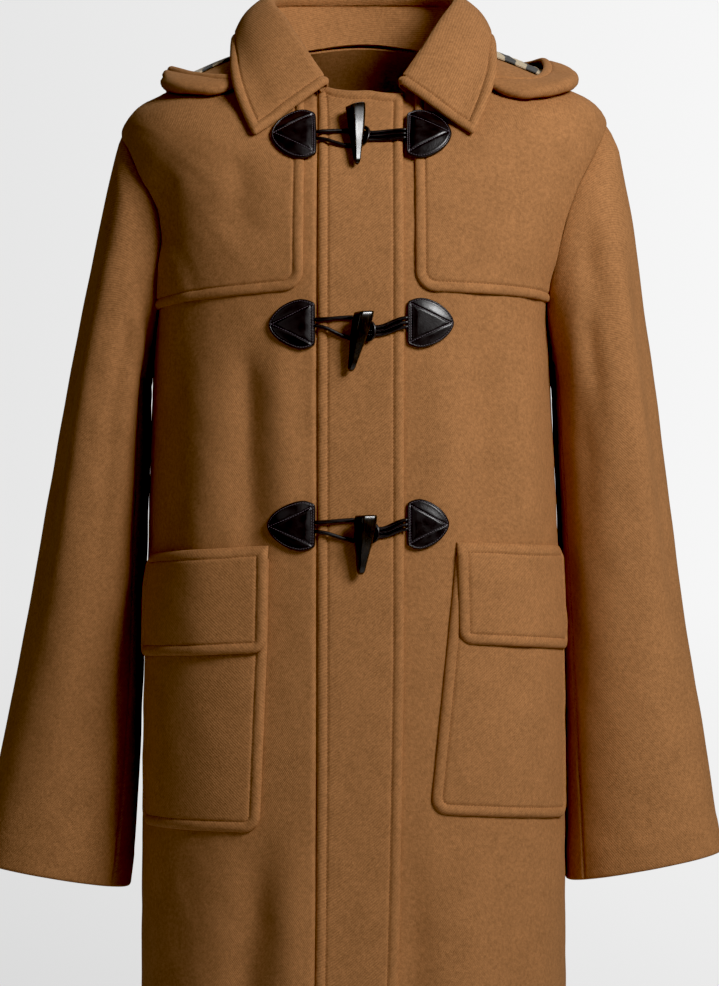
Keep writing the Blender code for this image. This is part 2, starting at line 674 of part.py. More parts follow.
def make_back(right, left):
    """The back has the same heights along its sides as the fronts have, and a yoke across its shoulders."""
    heights_right = right.down[:, -1]
    heights_left = left.down[:, -1]
    share = np.linspace(0, 1, BACK_COLUMNS)[None, :]
    down = heights_left[:, None] + (heights_right - heights_left)[:, None] * share
    inset_left = (armhole_inset(heights_left, BACK) + setback(heights_left))[:, None]
    inset_right = (armhole_inset(heights_right, BACK) + setback(heights_right))[:, None]
    around = (1 + inset_left) + (2 - inset_left - inset_right) * share
    above = (np.minimum(down, YOKE_LOW_STEP) / YOKE_LOW_STEP) ** 2
    below = np.clip((BACK_YOKE_FADE - down) / (BACK_YOKE_FADE - YOKE_LOW_STEP), 0, 1)
    down = down + BACK_YOKE_DIP * np.sin(math.pi * share) * above * below
    seam = right.row["yoke_low"]
    opened = 0.5 * GAP / abs(RINGS[4][0] - RINGS[3][0])
    for name, rows, seam_row, step in (("back_yoke", slice(0, seam + 1), -1, -opened),
                                       ("back", slice(seam, None), 0, opened)):
        panel = down[rows].copy()
        panel[seam_row] += step
        wall(name, skin(around[rows], panel, 0.0), skin(around[rows], panel, CLOTH), WOOL)


def make_placket(grid):
    """The band over the left front's edge, as far as its free edge, from that front's own grid."""
    around, down, _ = grid.block("neckline", "hem", 0, 3)
    seam_x = placket_seam_x(bare_skin(np.zeros(len(down)), down[:, 0])[:, 2]) + GAP
    around = np.concatenate([around_at(seam_x, down[:, 0])[:, None], around], axis=1)
    down = np.concatenate([down[:, :1], down], axis=1)
    wall("placket", skin(around, down, SECOND_LOW), skin(around, down, PLACKET_TOP), WOOL)


def make_yoke(name, grid):
    """A storm yoke over one shoulder: neckline, shoulder seam and armhole, with a rounded free corner."""
    around, down, rise = grid.block("neckline", "yoke_low", grid.first_spread - 1, grid.spread)
    around, down = around.copy(), down.copy()
    around[:, -1] -= grid.side * 1.5 * setback(down[:, -1])
    down[0] = YOKE_TOP_STEP
    low = skin(around, down, rise + SECOND_LOW)
    high = skin(around, down, rise + YOKE_TOP)
    round_corner(low, high, -1, 0, YOKE_CORNER)
    wall(name, low, high, WOOL)


def make_pocket(name, grid):
    """A patch pocket with rounded lower corners, a little full in its middle."""
    block = grid.block("pocket_top", "pocket_low", *grid.pocket_cols)
    puff = puff_of(grid, "pocket_top")
    low = points_at(block, SECOND_LOW + puff)
    high = points_at(block, POCKET_TOP + puff)
    round_corner(low, high, -1, 0, POCKET_CORNER)
    round_corner(low, high, -1, -1, POCKET_CORNER)
    wall(name, low, high, WOOL)


def puff_of(grid, first_row):
    """How far the middle of the pocket stands off, from a row of the grid down to the pocket's foot."""
    around, _, _ = grid.block("pocket_top", "pocket_low", *grid.pocket_cols)
    rows, cols = around.shape
    across = np.sin(math.pi * np.linspace(0, 1, cols))[None, :]
    along = np.sin(math.pi * np.linspace(FREE_CELL, 1, rows))[:, None]
    puff = POCKET_PUFF * across * along
    puff[0] *= 0.5
    puff[-1] = 0
    return puff[grid.row[first_row] - grid.row["pocket_top"]:]


def make_flap(name, grid):
    """A pocket flap: sewn along its top, and lying over the top of its pocket."""
    block = grid.block("flap_top", "flap_low", *grid.pocket_cols)
    rows = len(block[0])
    puff = np.concatenate([np.zeros((1, block[0].shape[1])), puff_of(grid, "pocket_top")[:rows - 1]])
    low = FLAP_LOW + 0.2 + puff
    low[0] = SECOND_LOW + 0.2
    bottom = points_at(block, low)
    top = points_at(block, low + FOLDED_CLOTH)
    for grid_points in (bottom, top):
        grid_points[:, 0, 0] -= grid.side * FLAP_OVERHANG
        grid_points[:, -1, 1] += FLAP_OVERHANG
    round_corner(bottom, top, -1, 0, FLAP_CORNER)
    round_corner(bottom, top, -1, -1, FLAP_CORNER)
    wall(name, bottom, top, WOOL)


# ================================================================ sleeves
def armhole_point(side, turn, lift):
    """A point of the armhole seam, at a turn in degrees round the sleeve from the shoulder tip."""
    drop = (1 - np.cos(np.radians(turn))) / 2
    down = TIP_RING + (UNDERARM_RING - TIP_RING) * drop
    front = side * (1 - armhole_inset(down, FRONT))
    back = side * (1 + armhole_inset(down, BACK))
    return skin(np.where(np.asarray(turn) <= 180, front, back), down, lift)


def sleeve_point(side, turn, along):
    """A point of the sleeve's inner face: turn in degrees from the outer line, along from the armhole."""
    table = columns(SLEEVE_COLUMNS, RIGHT_SLEEVE if side < 0 else LEFT_SLEEVE)
    turn, along = np.broadcast_arrays(np.asarray(turn, float), np.asarray(along, float))
    seam = armhole_point(side, turn, SLEEVE_LIFT)
    cosine = np.cos(np.radians(turn))
    sine = np.sin(np.radians(turn))
    power = SLEEVE_SQUARENESS
    rounding = (np.abs(cosine) ** power + np.abs(sine) ** power) ** (-1 / power)
    at = along - 1
    value = {name: smooth(table[name], np.maximum(at, 0)) for name in SLEEVE_COLUMNS}
    middle_x = (value["outer_x"] + value["inner_x"]) / 2
    middle_z = (value["outer_z"] + value["inner_z"]) / 2
    half_x = (value["outer_x"] - value["inner_x"]) / 2
    half_z = (value["outer_z"] - value["inner_z"]) / 2
    middle_y = (value["front_y"] + value["back_y"]) / 2
    half_y = (value["back_y"] - value["front_y"]) / 2
    x = middle_x + half_x * cosine * rounding - side * value["bow"] * sine**4
    y = middle_y - half_y * sine * rounding
    z = middle_z + half_z * cosine * rounding
    loft = np.stack([x, y, z], axis=-1)
    near_seam = np.clip(along, 0, 1)[..., None]
    return seam * (1 - near_seam) + loft * near_seam


def sleeve_fold_height(turn, along):
    total = np.zeros(np.broadcast(turn, along).shape)
    for row in SLEEVE_FOLDS:
        fold = record(SLEEVE_FOLD_COLUMNS, row)
        length = ease((along - fold["start"]) / 1.2) * ease((fold["end"] - along) / 2.0)
        total += fold["height"] * bell(turn - fold["angle"], fold["half_width"]) * length
    return total


def make_sleeve_piece(name, side, turns, front_seam):
    """A strip of the sleeve over the given turns, from the armhole to the cuff."""
    along = np.concatenate([np.linspace(0, 4, 9), np.linspace(4, CUFF, 8)[1:]])[:, None]
    turns = np.array(turns, float)
    from_back = turns - turns[-1 - front_seam]
    towards_front_seam = from_back / from_back[front_seam]
    turns[0] += SLEEVE_SEAM_EASE
    turns[-1] -= SLEEVE_SEAM_EASE
    drift = SEAM_DRIFT * ease((along - 4) / (CUFF - 4))
    turn = np.mod(turns[None, :] + drift * towards_front_seam, 360.0)
    along = np.broadcast_to(along, turn.shape)

    def surface(t, s):
        return sleeve_point(side, np.mod(t, 360.0), np.clip(s, 0, CUFF))

    def facing(t, s):
        across = surface(t + 1.5, s) - surface(t - 1.5, s)
        below = surface(t, np.minimum(s + 0.03, CUFF)) - surface(t, np.maximum(s - 0.03, 0))
        return side * unit(np.cross(across, below))

    outward = facing(turn, along)
    inner = surface(turn, along) + outward * sleeve_fold_height(turn, along)[..., None]
    outer = inner + outward * CLOTH
    seam = armhole_point(side, turn[0], SLEEVE_LIFT)
    ring = armhole_point(side, np.arange(0.0, 360.0, 15.0), SLEEVE_LIFT)
    outer[0] = seam
    inner[0] = seam + unit(ring.mean(axis=0) - seam) * CLOTH
    wall(name, inner, outer, WOOL)


def sleeve_turns():
    """Turns of the sleeve's corners at the armhole, in degrees: the front half, then the back half."""
    steps = np.array(ARMHOLE_STEPS)
    front = np.degrees(np.arccos(1 - 2 * (steps - TIP_RING) / (UNDERARM_RING - TIP_RING)))
    seam = list(ARMHOLE_STEPS).index(SLEEVE_SEAM_DOWN)
    top = [-turn for turn in front[seam:0:-1]] + list(front[:seam + 1])
    under = list(front[seam:]) + [360 - turn for turn in front[-2:seam - 1:-1]]
    return top, under


# ================================================================ collar
def collar_rows(side, at):
    table = columns(COLLAR_COLUMNS, COLLAR)
    value = {name: smooth(table[name], at) for name in COLLAR_COLUMNS}
    roll = np.stack([-side * value["roll_x"] + CENTRE_SHIFT, value["roll_y"], value["roll_z"]], axis=-1)
    edge = np.stack([-side * value["edge_x"] + CENTRE_SHIFT, value["edge_y"], value["edge_z"]], axis=-1)
    return roll, edge, value["around"] * side, value["puff"]


def keep_clear(points, lift):
    """Moves points out where they lie less than `lift` above the skin over the shoulders and chest."""
    around, down = np.meshgrid(np.linspace(-2, 2, 161), np.linspace(0, 5, 41), indexing="ij")
    around, down = around.ravel(), down.ravel()
    ground = skin(around, down)
    normals = normal_of(creased_skin, around, down)
    flat = points.reshape(-1, 3)
    lift = np.broadcast_to(lift, points.shape[:-1]).ravel()
    moved = flat.copy()
    for i, point in enumerate(flat):
        nearest = np.argmin(((ground - point) ** 2).sum(axis=1))
        height = np.dot(point - ground[nearest], normals[nearest])
        moved[i] += normals[nearest] * max(0.0, lift[i] - height)
    return moved.reshape(points.shape)


def collar_path():
    """Signed places along the collar: the right front end, the nape, the left front end."""
    last = len(COLLAR) - 1
    half = np.linspace(0, last, 12)
    return [(-1, at) for at in half] + [(1, at) for at in half[::-1][1:]]


def collar_frames():
    rows = [collar_rows(side, at) for side, at in collar_path()]
    rolls, edges, arounds, puffs = (np.array(part) for part in zip(*rows))
    tangents = unit(np.gradient(rolls, axis=0))
    falls = unit(edges - rolls)
    outward = unit(np.cross(tangents, falls))
    from_neck = rolls[:, :2] - (CENTRE_SHIFT, 0)
    points_out = outward[:, 2] + (np.einsum("ij,ij->i", outward[:, :2], from_neck) > 0)
    outward = np.where(points_out[:, None] > 0, outward, -outward)
    return rolls, edges, arounds, puffs, falls, outward


def make_collar():
    """The fall: it turns over the roll line, and hangs to its outer edge with a point at each front."""
    rolls, edges, arounds, puffs, falls, outward = collar_frames()
    radius = COLLAR_FOLD_RADIUS
    centre = rolls + falls * radius
    lines = [centre - outward * radius + falls * COLLAR_TURN_IN]
    for degrees in (180, 135, 90, 45, 0):
        turn = math.radians(degrees)
        lines.append(centre + radius * (outward * math.cos(turn) - falls * math.sin(turn)))
    start = lines[-1]
    over_hood = ease((np.abs(arounds) - 0.34) / 0.14)
    clearance = COLLAR_LIFT + (COLLAR_OVER_HOOD - COLLAR_LIFT) * over_hood
    for share in (0.25, 0.5, 0.75, 1.0):
        bulge = outward * (puffs * math.sin(math.pi * share))[:, None]
        lines.append(keep_clear(start + (edges - start) * share + bulge, clearance * min(1.0, share * 2)))
    middle = np.stack(lines, axis=1)
    facing = grid_normals(middle)
    half = FOLDED_CLOTH / 2
    wall("collar", middle - facing * half, middle + facing * half, WOOL)


def make_collar_stand():
    """The stand: a band from the neckline up to the inside of the fold."""
    rolls, _, arounds, _, falls, outward = collar_frames()
    keep = slice(3, -3)
    radius = COLLAR_FOLD_RADIUS
    top = rolls + falls * (radius + COLLAR_TURN_IN + GAP + 0.4) - outward * radius
    neck_end = (top + falls * 3.0)[keep]
    arounds = arounds[keep]
    top = top[keep]
    base = skin(arounds, 0.0, CLOTH / 2)
    beyond = unit(base - skin(arounds, 0.06, CLOTH / 2))
    base = base + beyond * (FOLDED_CLOTH / 2 + 2.9)
    lines = [base + (neck_end - base) * share for share in (0, 0.33, 0.66, 1)]
    middle = np.stack(lines + [top], axis=1)
    facing = grid_normals(middle)
    half = FOLDED_CLOTH / 2 - 0.2
    wall("collar_stand", middle - facing * half, middle + facing * half, WOOL)


# ================================================================ hood
def hood_profile(side, at):
    """One section of the hood's cloth, from the neck seam down to its fold and up to the rim."""
    table = columns(HOOD_COLUMNS, HOOD[side])
    value = {name: float(smooth(table[name], at)) for name in HOOD_COLUMNS}
    share = np.array([0.0, 0.15, 0.32, 0.5, 0.75, 1.0])
    around = side * (value["neck_around"] + (value["fold_around"] - value["neck_around"]) * share)
    down = 0.08 + (value["fold_down"] - 0.08) * share
    lower = list(skin(around, down, HOOD_LIFT + value["standoff"] * ease(share / 0.2)))
    fold = lower[-1]
    up = normal_of(creased_skin, around[-1], down[-1])
    out = unit(fold - lower[-2])
    turn = [fold + (out * math.sin(angle) + up * (1 - math.cos(angle))) * value["turn"]
            for angle in (0.9, 1.6, 2.4, math.pi)]
    rim = np.array([-side * value["rim_x"] + CENTRE_SHIFT * (side > 0), value["rim_y"], value["rim_z"]])
    start = turn[-1]
    radial = unit(np.array([rim[0] - CENTRE_SHIFT, rim[1] - 20, 0.0]))
    length = np.linalg.norm(rim - start)
    facing = min(FACING, 0.4 * length) / length
    upper = []
    for share in (0.33 * (1 - facing), 0.66 * (1 - facing), 1 - facing, 1.0):
        bulge = value["puff"] * math.sin(math.pi * min(1.0, share + 0.05))
        upper.append(start + (rim - start) * share + radial * bulge)
    return np.array(lower + turn + upper)


def hood_grid(side):
    last = len(HOOD[side]) - 1
    places = np.linspace(0, last, HOOD_SECTIONS)
    middle = np.array([hood_profile(side, at) for at in places])
    middle[-1, :, 0] = side * GAP / 2
    facing = grid_normals(middle)
    facing[-1, :, 0] = 0
    facing = unit(facing)
    if facing[-1, 1, 1] < 0:
        facing = -facing
    return middle, facing


def make_hood(name, side):
    """One half of the hood, down on the back, from the front end of its rim to the centre back seam."""
    middle, inward = hood_grid(side)
    half = CLOTH / 2
    wall(name, middle - inward * half, middle + inward * half, WOOL)


def make_hood_lining():
    """The lining inside the hood, short of the rim by the width of the facing."""
    right, right_in = hood_grid(-1)
    left, left_in = hood_grid(1)
    first = 6
    middle = np.concatenate([right[first:], left[first:][::-1][1:]])[:, 1:-1]
    inward = np.concatenate([right_in[first:], left_in[first:][::-1][1:]])[:, 1:-1]
    centre = len(right) - first - 1
    middle[centre, :, 0] = 0
    low = middle + inward * (CLOTH / 2 + GAP + LINING_EASE)
    wall("hood_lining", low, low + inward * LINING_CLOTH, LINING)


# ================================================================ fastenings
def make_tab(name, side, edge_x, centre_z, base_lift, stretch=1.0):
    """A D-shaped leather tab: straight towards the centre, and drawn to a blunt point on its outer side."""
    outline = columns(TAB_COLUMNS, TAB_OUTLINE)
    share = np.linspace(-1, 1, 5)[None, :]
    x = edge_x + side * stretch * outline["reach"][:, None] + 0 * share
    z = centre_z + outline["half_height"][:, None] * share
    around, down = on_front(x, z)
    rise = near_placket_rise(bare_skin(around, down)) if side < 0 else 0 * x
    low = base_lift + LEATHER_SEAT + rise
    sheet_on_skin(name, around, down, low, low + TAB_THICK, LEATHER)


def front_frame(x, z, lift):
    """A point at this x and z, lift above the skin."""
    around, down = on_front(x, z)
    return skin(around, down, lift)


def make_loop(name, tab_x, low_lift, toggle_x, z, spread, radius, tab_spread):
    """A cord in a long U: out of the tab, round behind the toggle, and back into the tab."""
    side = 1 if tab_x > 0 else -1
    bend_x = toggle_x + side * (radius + 0.7)
    start_x = tab_x - side * (GAP + 0.4)
    lift_tab = low_lift + radius + 0.3
    lift_toggle = PLACKET_TOP + radius + 0.35
    route = (
        (start_x, z + tab_spread, lift_tab),
        (start_x + (bend_x - start_x) * 0.35, z + tab_spread + (spread - tab_spread) * 0.35,
         max(lift_tab, lift_toggle) + 0.6),
        (start_x + (bend_x - start_x) * 0.8, z + spread * 0.97, lift_toggle),
        (bend_x, z + spread * 0.62, lift_toggle),
        (bend_x, z, lift_toggle),
        (bend_x, z - spread * 0.62, lift_toggle),
        (start_x + (bend_x - start_x) * 0.8, z - spread * 0.97, lift_toggle),
        (start_x + (bend_x - start_x) * 0.35, z - tab_spread - (spread - tab_spread) * 0.35,
         max(lift_tab, lift_toggle) + 0.6),
        (start_x, z - tab_spread, lift_tab),
    )
    controls = [front_frame(x, height, lift) for x, height, lift in route]
    tube(name, curve_through(controls, 23), radius, LEATHER, sides=6)


def make_toggle(name, x, top_z, lean, seat):
    """A horn toggle: cut flat and wide at the top, tapering to a rounded tip."""
    sides = 10
    shares = (0.0, 0.04, 0.2, 0.4, 0.6, 0.78, 0.9, 0.97, 1.0)
    widths = (0.86, 1.0, 0.93, 0.8, 0.66, 0.52, 0.4, 0.24, 0.08)
    points = []
    back_lift = PLACKET_TOP + 2 * LOOP_RADIUS + 0.35 + seat
    for share, width in zip(shares, widths):
        half = TOGGLE_HALF * width
        z = top_z - TOGGLE_LENGTH * share
        middle_x = x + lean * share - lean * 0.2
        base = front_frame(middle_x, z, back_lift + half * 0.9)
        for k in range(sides):
            turn = 2 * math.pi * k / sides
            points.append(base + half * np.array([math.cos(turn), 0.9 * math.sin(turn), 0.0]))
    lofted(name, points, sides, HORN)


def make_fastenings():
    for number, row in enumerate(FASTENINGS, start=1):
        size = record(FASTENING_COLUMNS, row)
        base = YOKE_TOP + GAP if number == 1 else SECOND_LOW
        make_tab(f"tab_right_{number}", -1, RIGHT_TAB_EDGE, size["tab_z"], base)
        make_tab(f"tab_left_{number}", 1, LEFT_TAB_EDGE, size["tab_z"] + 1.5, base, size["left_reach"])
        make_loop(f"loop_{number}", RIGHT_TAB_EDGE, PLACKET_TOP, size["toggle_x"], size["loop_z"],
                  10.0, LOOP_RADIUS, 3.2)
        make_loop(f"toggle_cord_{number}", LEFT_TAB_EDGE, PLACKET_TOP, size["toggle_x"], size["loop_z"],
                  7.5, CORD_RADIUS, 2.4)
        make_toggle(f"toggle_{number}", size["toggle_x"], size["toggle_top_z"], size["lean"], size["seat"])


# ================================================================ the coat
def clear_scene():
    for old in list(bpy.data.objects):
        bpy.data.objects.remove(old, do_unlink=True)


def main():
    clear_scene()
    right = FrontGrid(-1)
    left = FrontGrid(1)
    make_front("front_right", right)
    make_front("front_left", left)
    make_back(right, left)
    make_placket(left)
    top_turns, under_turns = sleeve_turns()
    for side, word, grid in ((-1, "right", right), (1, "left", left)):
        make_yoke(f"yoke_{word}", grid)
        make_pocket(f"pocket_{word}", grid)
        make_flap(f"flap_{word}", grid)
        make_sleeve_piece(f"sleeve_{word}_top", side, top_turns, front_seam=-1)
        make_sleeve_piece(f"sleeve_{word}_under", side, under_turns, front_seam=0)
        make_hood(f"hood_{word}", side)
    make_hood_lining()
    make_collar_stand()
    make_collar()
    make_fastenings()


main()
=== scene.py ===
"""Looks of a knee-length duffle coat in thick camel wool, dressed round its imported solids.

Every cloth piece is a thin closed shell on the form of its solid. The body is one surface, the skin,
worked out from a table of level rings between the neckline and the hem. `around` runs from the front
centre (0) over a side (1) to the back centre (2), and is negative on the wearer's right. `down` runs
from the neckline (0) to the hem, and `lift` is the height above the skin. Sizes are in millimetres, and
a mesh is made in metres.
"""

import math

import bpy
import numpy as np
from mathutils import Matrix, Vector

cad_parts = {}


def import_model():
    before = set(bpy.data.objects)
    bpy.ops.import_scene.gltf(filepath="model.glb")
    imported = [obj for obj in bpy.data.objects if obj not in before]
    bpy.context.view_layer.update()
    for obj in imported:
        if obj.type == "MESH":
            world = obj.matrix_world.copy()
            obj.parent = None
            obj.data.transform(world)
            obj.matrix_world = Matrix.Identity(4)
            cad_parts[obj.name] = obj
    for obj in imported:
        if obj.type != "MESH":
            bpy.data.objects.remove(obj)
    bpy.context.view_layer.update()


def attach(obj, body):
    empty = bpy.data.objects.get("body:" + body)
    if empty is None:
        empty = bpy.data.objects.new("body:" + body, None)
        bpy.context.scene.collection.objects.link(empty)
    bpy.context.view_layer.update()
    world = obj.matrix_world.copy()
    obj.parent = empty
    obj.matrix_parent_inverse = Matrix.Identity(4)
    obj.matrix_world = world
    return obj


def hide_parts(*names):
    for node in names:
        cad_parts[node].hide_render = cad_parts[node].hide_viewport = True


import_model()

bl_info = {
    "name": "Duffle coat",
    "version": (1, 0, 0),
    "blender": (4, 5, 0),
    "location": "3D View > Sidebar > Coat",
    "description": "Builds a wool duffle coat with toggles, storm yokes, flapped pockets and a hood",
    "category": "Object",
}

# ---------------------------------------------------------------- sizes, in millimetres
MM = 0.001
CLOTH = 2.4                  # thickness of the wool cloth
FOLDED_CLOTH = 3.0           # two layers pressed together
LINING_CLOTH = 1.2
GAP = 0.3
PLACKET_LEFT_X = -37.4       # seam of the placket on the right front
PLACKET_SEAM_LOW_X = -40.8   # and it leans out to this at the hem
PLACKET_LEAN_TOP_Z, PLACKET_LEAN_DROP = -600, 400
CENTRE_SHIFT = 3.5           # the neck's middle lies this far towards the left of the wearer
SECOND_LOW = CLOTH + GAP
YOKE_TOP = SECOND_LOW + CLOTH
PLACKET_TOP = SECOND_LOW + FOLDED_CLOTH
FLAP_LOW = SECOND_LOW + FOLDED_CLOTH + GAP
PLACKET_RISE = SECOND_LOW + 0.3
PLACKET_RISE_WIDTH = 55.0    # the right front falls back to its own level over this width
SLEEVE_LIFT = 3.3            # the sleeve's outer face at the armhole

# ---------------------------------------------------------------- the body, ring by ring
RING_COLUMNS = ("side_right_z", "side_left_z", "front_z", "back_z",
                "half_right", "half_left", "front_y", "back_y", "squareness")
RINGS = (
    (2, 2, -43, 14, 77, 77, -92, 62, 2.0),                 # neckline
    (-27, -25, -84, -24, 148, 152, -112, 98, 2.1),         # half way along the shoulder
    (-66, -59, -122, -70, 211, 220, -132, 121, 2.35),      # shoulder tip
    (-150, -148, -178, -150, 194, 197, -145, 130, 2.6),    # armhole
    (-233, -225, -235, -228, 186, 172, -150, 131, 2.7),    # lower edge of the yokes
    (-290, -290, -292, -290, 187, 172, -152, 129, 2.7),    # underarm
    (-375, -375, -375, -375, 190, 176, -154, 128, 2.7),
    (-463, -463, -463, -463, 192, 180, -157, 129, 2.7),    # pocket flaps
    (-600, -600, -600, -600, 195, 185, -161, 134, 2.7),
    (-750, -750, -750, -750, 197, 186, -165, 141, 2.65),   # below the pockets
    (-880, -880, -880, -880, 197.5, 187, -168, 147, 2.6),
    (-1000, -1000, -1000, -1000, 199, 189, -171, 152, 2.6),  # hem
)
TIP_RING = 2
YOKE_TOP_STEP = 0.07         # the yoke starts a little below the neckline
YOKE_LOW_STEP = 4.05
UNDERARM_RING = 5
HEM_RING = len(RINGS) - 1
# how far the top edge dips at the first columns of each front, which keeps the placket's top straight
RIGHT_NECK_STEPS = (0.06,)
LEFT_NECK_STEPS = (0.06, 0.0, 0.23)
BACK_YOKE_DIP = 0.4          # the seam of the back's yoke hangs this much lower at the centre back
BACK_YOKE_FADE = 6.5         # and the rows below it are level again from this place on
FIRST_STEPS = [0.0, 0.4, 0.6, 0.85, 1.1, 1.4, 1.7]       # rows of the grid above the armhole
ARMHOLE_STEPS = (2.0, 2.08, 2.3, 2.7, 3.2, 3.65, 4.05, 4.5, 4.8, 5.0)
ARMHOLE_COLUMNS = ("down", "front", "back")
ARMHOLE = (
    (2.0, 0.0, 0.0), (2.15, 0.09, 0.08), (2.5, 0.2, 0.17), (3.0, 0.25, 0.22),
    (3.5, 0.25, 0.23), (4.0, 0.22, 0.2), (4.5, 0.15, 0.13), (5.0, 0.0, 0.0),
)

# folds of the body: the main ones of the solids, then smaller creases; troughs have a negative height
FOLD_COLUMNS = ("face", "top_x", "top_z", "low_x", "low_z", "height", "half_width")
FRONT, BACK = -1, 1
FOLD_FADE = 0.3              # share of a fold over which it rises and dies away
FOLD_FACE_DEPTH = 45.0       # a fold has died away this near to the middle of the side
FOLDS = (
    (FRONT, -168, -260, -176, -520, -5.0, 16),
    (FRONT, -132, -250, -138, -560, 3.5, 20),
    (FRONT, -100, -250, -96, -480, -7.0, 13),
    (FRONT, -70, -250, -64, -460, 4.5, 14),
    (FRONT, 72, -250, 76, -470, 3.0, 18),
    (FRONT, 112, -230, 106, -480, -6.0, 16),
    (FRONT, 146, -250, 148, -490, 4.0, 14),
    (FRONT, -84, -680, -120, -1010, -9.0, 22),
    (FRONT, -58, -690, -62, -1010, 6.0, 20),
    (FRONT, 48, -700, 48, -1010, -5.5, 17),
    (FRONT, 92, -700, 98, -1010, 5.0, 24),
    (FRONT, -176, -100, -170, -200, -5.0, 14),
    (FRONT, -108, -90, -102, -190, -3.5, 16),
    (BACK, -96, -330, -124, -1010, -9.0, 26),
    (BACK, -40, -360, -48, -1010, 7.0, 30),
    (BACK, 44, -340, 60, -1010, -8.0, 26),
    (BACK, 104, -380, 128, -1010, 6.0, 30),
)

# ---------------------------------------------------------------- the sleeves, ring by ring
SLEEVE_COLUMNS = ("outer_x", "outer_z", "inner_x", "inner_z", "front_y", "back_y", "bow")
RIGHT_SLEEVE = (
    (-222, -92, -194.4, -299, -78, 84, 11),
    (-235, -150, -195.0, -308, -80, 88, 6),
    (-250, -222, -195.4, -328, -80, 90, 2),
    (-264, -292, -195.6, -362, -77, 90, 0),
    (-283, -400, -198.2, -447, -71, 84, 0),
    (-303, -512, -201.2, -547, -67, 74, 0),
    (-324, -622, -205, -650, -64, 62, 0),
    (-340, -702, -209, -726, -63, 53, 0),
    (-348, -739, -213, -762, -62, 49, 0),
)
LEFT_SLEEVE = (
    (236, -86, 178.5, -299, -78, 84, 11),
    (248, -148, 179.6, -308, -80, 88, 6),
    (258, -222, 180.6, -328, -80, 90, 2),
    (268, -292, 182, -362, -77, 90, 0),
    (282, -400, 185.8, -447, -71, 84, 0),
    (296, -510, 189.4, -545, -67, 74, 0),
    (314, -620, 191, -648, -64, 62, 0),
    (325, -697, 191.6, -720, -63, 53, 0),
    (331, -730, 192, -756, -62, 49, 0),
)
CUFF = len(RIGHT_SLEEVE)
SLEEVE_SQUARENESS = 2.25
SEAM_DRIFT = -10.0           # degrees that the front seam turns towards the front, down to the cuff
SLEEVE_FOLD_COLUMNS = ("angle", "start", "end", "height", "half_width")
SLEEVE_FOLDS = (
    (62, 0.6, 6.5, 4.0, 13),
    (36, 2.0, 7.5, -4.0, 15),
    (105, 1.5, 6.0, -3.0, 14),
    (300, 1.0, 7.0, -5.0, 18),
    (262, 0.8, 6.0, 4.0, 16),
    (330, 2.0, 8.0, 3.0, 16),
)
# creases that only one sleeve has, right (-1) and left (1)
SLEEVE_CREASES = {
    -1: (
        (118, 0.8, 6.4, 5.0, 12),
        (147, 0.8, 6.8, -4.5, 11),
    ),
    1: (
        (80, 0.4, 3.2, -4.5, 11),
        (98, 1.5, 4.6, -4.0, 11),
        (120, 2.8, 6.0, -4.0, 12),
    ),
}
SLEEVE_FOLD_RISE, SLEEVE_FOLD_FADE = 1.2, 2.0    # rings over which a fold starts and dies away
SLEEVE_SEAM_STEP = 4.8       # where on the armhole the sleeve's two seams start, in rings of the body
SLEEVE_LENGTH = 640.0
SLEEVE_PITCH = 4.8           # from one row of points to the next, across and along
SLEEVE_ROW_PITCH = 5.5
SLEEVE_DEGREE = 1.5          # width of one degree round the sleeve

# ---------------------------------------------------------------- collar and hood, x for the right side
COLLAR_COLUMNS = ("around", "roll_x", "roll_y", "roll_z", "edge_x", "edge_y", "edge_z", "puff")
COLLAR = (
    (0.22, -31, -101, -37, -97, -123, -87, 2),
    (0.34, -40, -92, -23, -107, -109, -68, 4),
    (0.5, -53, -74, -2, -116, -88, -42, 5),
    (0.75, -70, -42, 28, -120, -54, -15, 6),
    (1.0, -84, -2, 52, -120, -8, 11, 6),
    (1.3, -74, 36, 62, -112, 50, 16, 6),
    (1.65, -42, 66, 67, -66, 92, 14, 5),
    (2.0, 0, 74, 68, 0, 106, 12, 5),
)
COLLAR_FOLD_RADIUS = 4.2
COLLAR_TURN_IN = 5.0
STAND_CLEARANCE = 2.9        # the stand's foot keeps this clear of the body's upper edge
STAND_CLOTH = 2.6
COLLAR_LIFT = 10.8           # middle of the fall's cloth above the skin, over the yokes
COLLAR_OVER_HOOD = 17.5      # and over the lower layer of the hood
HOOD_COLUMNS = ("neck_around", "fold_around", "fold_down", "rim_x", "rim_y", "rim_z",
                "standoff", "turn", "puff")
RIGHT_HOOD = (
    (0.7, 0.62, 0.62, -98, -72, -25, 1.0, 1.5, 1),
    (0.76, 0.64, 1.15, -117, -68, -24.5, 1.6, 1.8, 2),
    (0.82, 0.72, 1.36, -133, -57, -23, 2.0, 3.2, 3),
    (0.88, 0.8, 1.42, -150, -38, -19, 2.0, 4.2, 4),
    (0.94, 0.87, 1.4, -162, -20, -14, 1.5, 4.2, 4),
    (1.0, 0.96, 1.34, -171, 4, -9, 3.0, 4.2, 4),
    (1.12, 1.12, 1.34, -165, 38, -9, 7.0, 4.5, 5),
    (1.3, 1.32, 1.95, -148, 84, -6, 10.0, 6.5, 8),
    (1.52, 1.54, 3.1, -112, 124, 1, 8.5, 6.5, 18),
    (1.76, 1.76, 4.1, -58, 150, 8, 5.0, 6.5, 26),
    (2.0, 2.0, 4.55, 0, 157, 11, 4.5, 6.5, 28),
)
